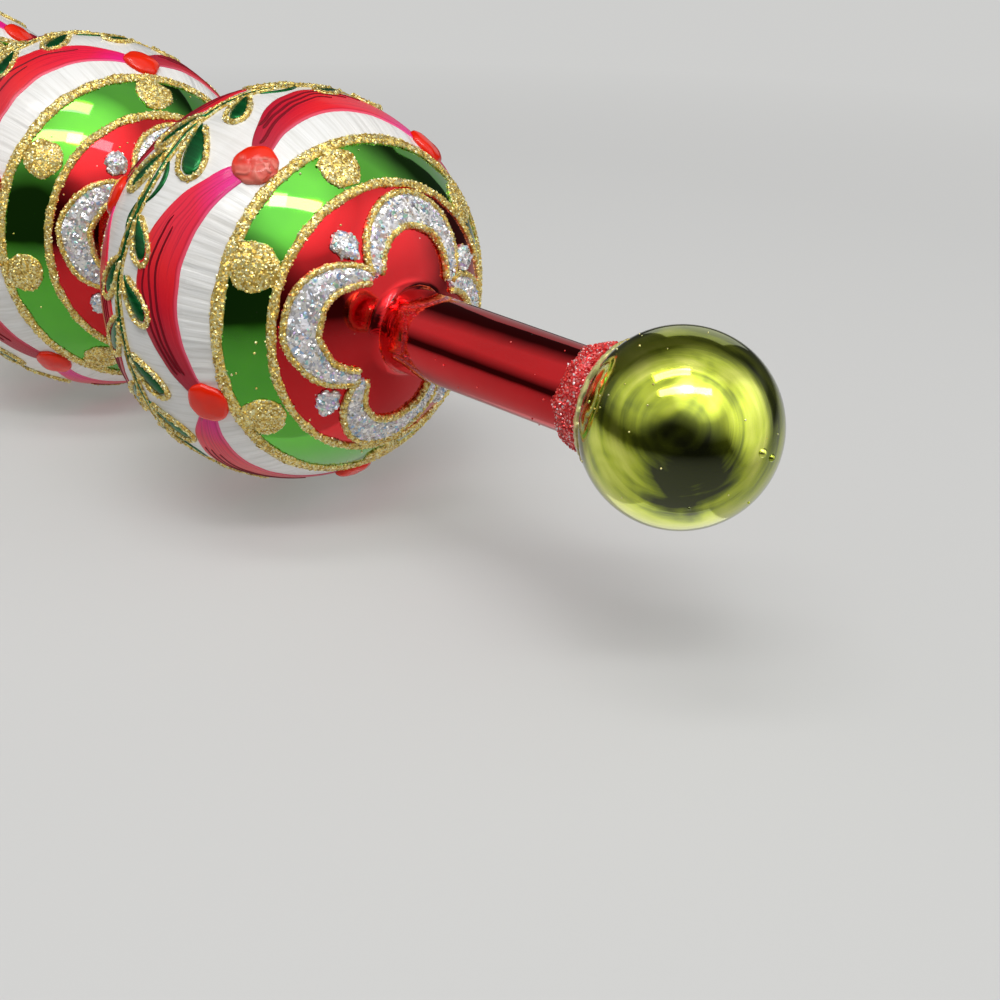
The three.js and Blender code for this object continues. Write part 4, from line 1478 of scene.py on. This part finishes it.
cap = {
    "sheet": 0.5 * mm,
    # its outside, as radius and drop in mm from the middle of its top
    "shape": ((0.0, 0.0), (3.0, 0.0), (4.4, -0.02), (4.75, -0.28), (5.1, -0.3), (5.5, -0.05), (6.2, -0.15),
              (6.85, -0.5), (7.15, -1.1), (7.2, -2.0), (7.2, -2.9), (7.3, -3.6), (7.6, -4.5), (8.05, -5.4),
              (8.45, -6.2), (8.6, -7.0)),
    "sides": 216,
    "flutes": 18,
    "fluteFrom": 2.2 * mm,  # below the top
    "fluteBlend": 3.2 * mm,
    "fluteDepth": 0.32 * mm,
    "hem": 1.5 * mm,
    "scallop": 0.55 * mm,
    "holeRadius": 0.75 * mm,
}
clip = {"wire": 0.9 * mm, "loopWidth": 4.4 * mm}
ring = {
    "wire": 1.2 * mm,
    "bore": 10.0 * mm,
    "seam": (60, 1.6, 0.12),  # its angle and width in degrees, and depth as a share of the wire
}


def makeCap():
    low, high = (corner[2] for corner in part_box("crown_cap"))
    sheet = cap["sheet"]
    outer = [Vector((radius * mm, 0, high + drop * mm)) for radius, drop in cap["shape"]]
    inner = [Vector((max(0.0, p.x - sheet * (0.2 if p.x < 6 * mm else 1.0)), 0,
                     min(p.z, high) - (sheet if p.x < 6.5 * mm else 0))) for p in outer]
    inner[0].x = 0.0
    bm = spun(outer + inner[::-1], cap["sides"])
    for vert in bm.verts:
        radius, turn = math.hypot(vert.co.x, vert.co.y), math.atan2(vert.co.y, vert.co.x)
        share = clamped((high - cap["fluteFrom"] - vert.co.z) / cap["fluteBlend"])
        if share > 0:
            fold = 0.5 - 0.5 * math.cos(cap["flutes"] * turn)
            vert.co.xy = vert.co.xy * (1 + -cap["fluteDepth"] * share * fold / radius)
            vert.co.z += cap["scallop"] * clamped((low + cap["hem"] - vert.co.z) / cap["hem"]) * fold
    piece = finishMesh("crownCap", bm, ["goldPlate"])
    for side in (-1, 1):
        cutter = bmesh.new()
        bmesh.ops.create_cone(cutter, cap_ends=True, segments=24, radius1=cap["holeRadius"],
                              radius2=cap["holeRadius"], depth=3 * mm)
        bmesh.ops.translate(cutter, vec=(side * clip["loopWidth"] / 2, 0, high), verts=cutter.verts)
        drill = finishMesh("drill", cutter)
        cut = piece.modifiers.new("hole", "BOOLEAN")
        cut.object, cut.solver = drill, "EXACT"
        keepShape(piece)
        bpy.data.objects.remove(drill)
    install(piece, "cap", "gold_metal", "crown_cap")


def wireTube(name, points, radius, finish, cyclic=False, roundness=3):
    # a round wire through the points, made from a curve and kept as a mesh
    data = bpy.data.curves.new(name, "CURVE")
    data.dimensions = "3D"
    data.bevel_depth = radius
    data.bevel_resolution = roundness
    data.use_fill_caps = not cyclic
    spline = data.splines.new("POLY")
    spline.points.add(len(points) - 1)
    for spot, point in zip(spline.points, points):
        spot.co = (*point, 1.0)
    spline.use_cyclic_u = cyclic
    curve = newObject(name, data)
    mesh = shapedMesh(curve)
    bpy.data.objects.remove(curve)
    bm = bmesh.new()
    bm.from_mesh(mesh)
    closeUp(bm)
    return finishMesh(name, bm, [finish])


def smoothPath(points, steps):
    # a smooth line through the points
    padded = [points[0]] + points + [points[-1]]
    path = []
    for a, b, c, d in zip(padded, padded[1:], padded[2:], padded[3:]):
        for i in range(steps):
            t = i / steps
            path.append(0.5 * ((2 * b) + (c - a) * t + (2 * a - 5 * b + 4 * c - d) * t ** 2
                               + (3 * b - a - 3 * c + d) * t ** 3))
    return path + [points[-1]]


def makeClip():
    low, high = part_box("spring_clip")
    radius = clip["wire"] / 2
    leg, loop = high[0] - radius, clip["loopWidth"] / 2
    loopHeight = high[2] - radius - loop
    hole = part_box("crown_cap")[1][2] - cap["sheet"] - clip["wire"]
    shoulder = hole - 2 * abs(leg - loop)
    heights = ((leg, low[2] + radius * 0.2), (leg, (low[2] + shoulder) / 2), (leg, shoulder), (loop, hole),
               (loop, (hole + loopHeight) / 2))
    left = [Vector((-out, 0, height)) for out, height in heights]
    arch = [Vector((-loop * math.cos(math.radians(a)), 0, loopHeight + loop * math.sin(math.radians(a))))
            for a in range(0, 181, 20)]
    right = [Vector((-p.x, p.y, p.z)) for p in reversed(left)]
    piece = wireTube("springClip", smoothPath(left + arch + right, 6), radius, "steelWire")
    install(piece, "cap", "steel_wire", "spring_clip")


def makeRing():
    radius, centre = (ring["bore"] + ring["wire"]) / 2, -ring["bore"] / 2
    points = [Vector((0, radius * math.cos(a), centre + radius * math.sin(a)))
              for a in (math.radians(i * 3.75) for i in range(96))]
    piece = wireTube("hangingRing", points, ring["wire"] / 2, "goldPlate", True, 4)
    middle = Vector((0, 0, centre))
    seam, width, depth = ring["seam"]
    for vert in piece.data.vertices:
        # the wire's two ends meet in a fine groove
        out = vert.co - middle
        angle = math.degrees(math.atan2(out.z, out.y)) - seam
        spine = middle + Vector((0, out.y, out.z)).normalized() * radius
        vert.co = spine + (vert.co - spine) * (1 - depth * math.exp(-(angle / width) ** 2))
    install(piece, "hanger", "gold_metal", "hanging_ring")


makeCap()
makeClip()
makeRing()
print("cap, clip and ring made")


# Camera: the photograph's viewpoint, given in radii of the lower ball from that ball's centre

camera = {
    "fromBall": (-3.382, -1.875, -4.882),
    "right": (0.70747, 0.0, -0.70674),
    "up": (0.33431, -0.88099, 0.33480),
    "focal": 1.150,  # of the frame's width
    "sensor": 36.0,
    "near": 0.005,
}
ballCentre = Vector((0, 0, balls[0]["z"]))


def makeCamera():
    right, up = Vector(camera["right"]), Vector(camera["up"])
    turned = Matrix((right, up, right.cross(up))).transposed().to_4x4()
    data = bpy.data.cameras.new("viewpoint")
    data.sensor_width = camera["sensor"]
    data.lens = camera["sensor"] * camera["focal"]
    data.clip_start = camera["near"]
    eye = newObject("viewpoint", data)
    place = ballCentre + Vector(camera["fromBall"]) * balls[0]["radius"]
    eye.matrix_world = Matrix.Translation(place) @ turned
    bpy.context.scene.camera = eye


makeCamera()


# Studio: a pale sheet behind the ornament that curves into the floor, under a broad soft ceiling glow

studio = {
    "behind": 28.9 * mm,  # the sheet stands just clear of the widest ball
    "floor": -0.75,
    "width": 12.0,
    "height": 12.0,
    "bend": 0.15,
    "reach": 0.5,
    "colour": (0.62, 0.62, 0.61),
    "fade": (0.5, 0.03),  # distances between which the glass sees it fade into the room
    "evenness": 0.3,  # share of the sheet's tone that needs no lamps, near the ornament
    "even": (0.12, 0.4),  # and how far off that share grows to all of it
    "dark": 0.03,
    # glows of the room: direction, cosines where each starts and is full, and how bright it is
    "glows": (((0, -1, 0), 0.1, 0.5, 0.64), ((0.56, -0.21, -0.80), 0.8, 0.95, 0.85),
              ((-0.14, -0.85, -0.51), 0.85, 0.97, 1.1)),
    # dark parts of it: before the camera, beyond the cap and far to the right
    "shades": (((-0.86, -0.05, -0.5), 0.72, 0.92), ((0.5, -0.4, 0.77), 0.55, 0.85),
               ((0.9, -0.4, 0.25), 0.8, 0.96)),
}


def stageMaterial():
    colour = (*studio["colour"], 1.0)
    material, tree, _ = newMaterial("paleSheet", Roughness=0.85, Base_Color=colour)
    shader = tree.nodes["Principled BSDF"]
    # the sheet keeps its pale tone where the lamps fade, in view and in the glass alike
    light = addNode(tree, "ShaderNodeLightPath").outputs
    mirrored = calc(tree, "MAXIMUM", light["Is Glossy Ray"], light["Is Transmission Ray"])
    direct = calc(tree, "MAXIMUM", light["Is Camera Ray"], mirrored)
    geometry = addNode(tree, "ShaderNodeNewGeometry").outputs
    offset = vectorCalc(tree, "SUBTRACT", geometry["Position"], (0, 0, balls[1]["z"]))
    away = vectorCalc(tree, "LENGTH", offset)
    evenness = calc(tree, "MAXIMUM", between(tree, away, *studio["even"]), studio["evenness"])
    even = addNode(tree, "ShaderNodeEmission", {"Color": colour, "Strength": 1.0})
    front = addNode(tree, "ShaderNodeMixShader", {
        0: calc(tree, "MULTIPLY", direct, evenness), 1: shader.outputs[0], 2: even.outputs[0]})
    # it fades out far from the ornament, and from behind it lets the camera through
    near = calc(tree, "POWER", between(tree, away, *studio["fade"]), 2.0)
    far = calc(tree, "SUBTRACT", 1.0, calc(tree, "MAXIMUM", near, light["Is Camera Ray"]))
    behind = calc(tree, "MULTIPLY", geometry["Backfacing"], light["Is Camera Ray"])
    clear = addNode(tree, "ShaderNodeBsdfTransparent")
    blend = addNode(tree, "ShaderNodeMixShader", {
        0: calc(tree, "MAXIMUM", far, behind), 1: front.outputs[0], 2: clear.outputs[0]})
    feed(tree, tree.nodes["Material Output"].inputs, {"Surface": blend.outputs[0]})
    return material


def makeStage():
    bend, floor, behind = studio["bend"], studio["floor"], studio["behind"]
    points = [Vector((0, behind, studio["height"]))]
    for i in range(13):
        angle = math.radians(90 * i / 12)
        y, z = behind - bend * (1 - math.cos(angle)), floor + bend * (1 - math.sin(angle))
        points.append(Vector((0, y, z)))
    points.append(Vector((0, -studio["reach"], floor)))
    bm = bmesh.new()
    verts = [bm.verts.new(point + Vector((-studio["width"] / 2, 0, 0))) for point in points]
    edges = [bm.edges.new(pair) for pair in zip(verts, verts[1:])]
    swept = bmesh.ops.extrude_edge_only(bm, edges=edges)
    moved = [item for item in swept["geom"] if isinstance(item, bmesh.types.BMVert)]
    bmesh.ops.translate(bm, vec=(studio["width"], 0, 0), verts=moved)
    bmesh.ops.recalc_face_normals(bm, faces=bm.faces)
    for face in bm.faces:
        if face.normal.y > 0.1 or face.normal.z < -0.1:
            face.normal_flip()
    finishes["paleSheet"] = stageMaterial()
    sheet = finishMesh("studioSheet", bm, ["paleSheet"])
    sheet.visible_shadow = False


# strips hang before the ornament like ceiling lights, long side level with the picture
lamps = {
    "upperStrip": {"at": (-0.09, -0.49, -0.005), "size": (0.30, 0.07), "power": 0.42},
    "middleStrip": {"at": (-0.21, -0.45, -0.135), "size": (0.30, 0.07), "power": 0.42},
    "lowerStrip": {"at": (-0.08, -0.43, -0.265), "size": (0.24, 0.06), "power": 0.40},
    "side": {"at": (0.42, -0.16, 0.20), "size": (0.3, 0.3), "power": 0.10},
    "back": {"at": (0.10, 0.55, 0.05), "size": (0.5, 0.5), "power": 0.9},
}


def makeLamp(name, look):
    data = bpy.data.lights.new(name, "AREA")
    data.shape = "RECTANGLE"
    data.size, data.size_y = look["size"]
    data.energy = look["power"]
    lamp = newObject(name, data)
    lamp.location = ballCentre + Vector(look["at"])
    back, wide = Vector(look["at"]).normalized(), Vector(camera["right"])
    wide = (wide - back * wide.dot(back)).normalized()
    lamp.rotation_euler = Matrix((wide, back.cross(wide), back)).transposed().to_euler()
    lamp.visible_camera = False


def makeWorld():
    world = bpy.data.worlds.new("studioRoom")
    bpy.context.scene.world = world
    world.use_nodes = True
    tree = world.node_tree
    # a broad ceiling glow, brightest round the strips, in a dark room; the camera sees a pale backdrop
    direction = addNode(tree, "ShaderNodeTexCoord").outputs["Generated"]
    level = 0.0
    for kind in ("glows", "shades"):
        for centre, start, full, *tone in studio[kind]:
            facing = vectorCalc(tree, "DOT_PRODUCT", direction, Vector(centre).normalized())
            lobe = between(tree, facing, start, full)
            if kind == "glows":
                level = calc(tree, "MULTIPLY_ADD", lobe, tone[0], level)
            else:
                level = calc(tree, "MULTIPLY", level, calc(tree, "SUBTRACT", 1.0, lobe))
    level = calc(tree, "ADD", level, studio["dark"])
    seen = addNode(tree, "ShaderNodeLightPath").outputs["Is Camera Ray"]
    feed(tree, tree.nodes["Background"].inputs, {"Color": mixOf(tree, seen, level, studio["colour"])})


makeStage()
for lampName, look in lamps.items():
    makeLamp(lampName, look)
makeWorld()
bpy.context.scene.view_settings.view_transform = "Standard"
print("studio set")

for chip in chips.values():
    bpy.data.objects.remove(chip)
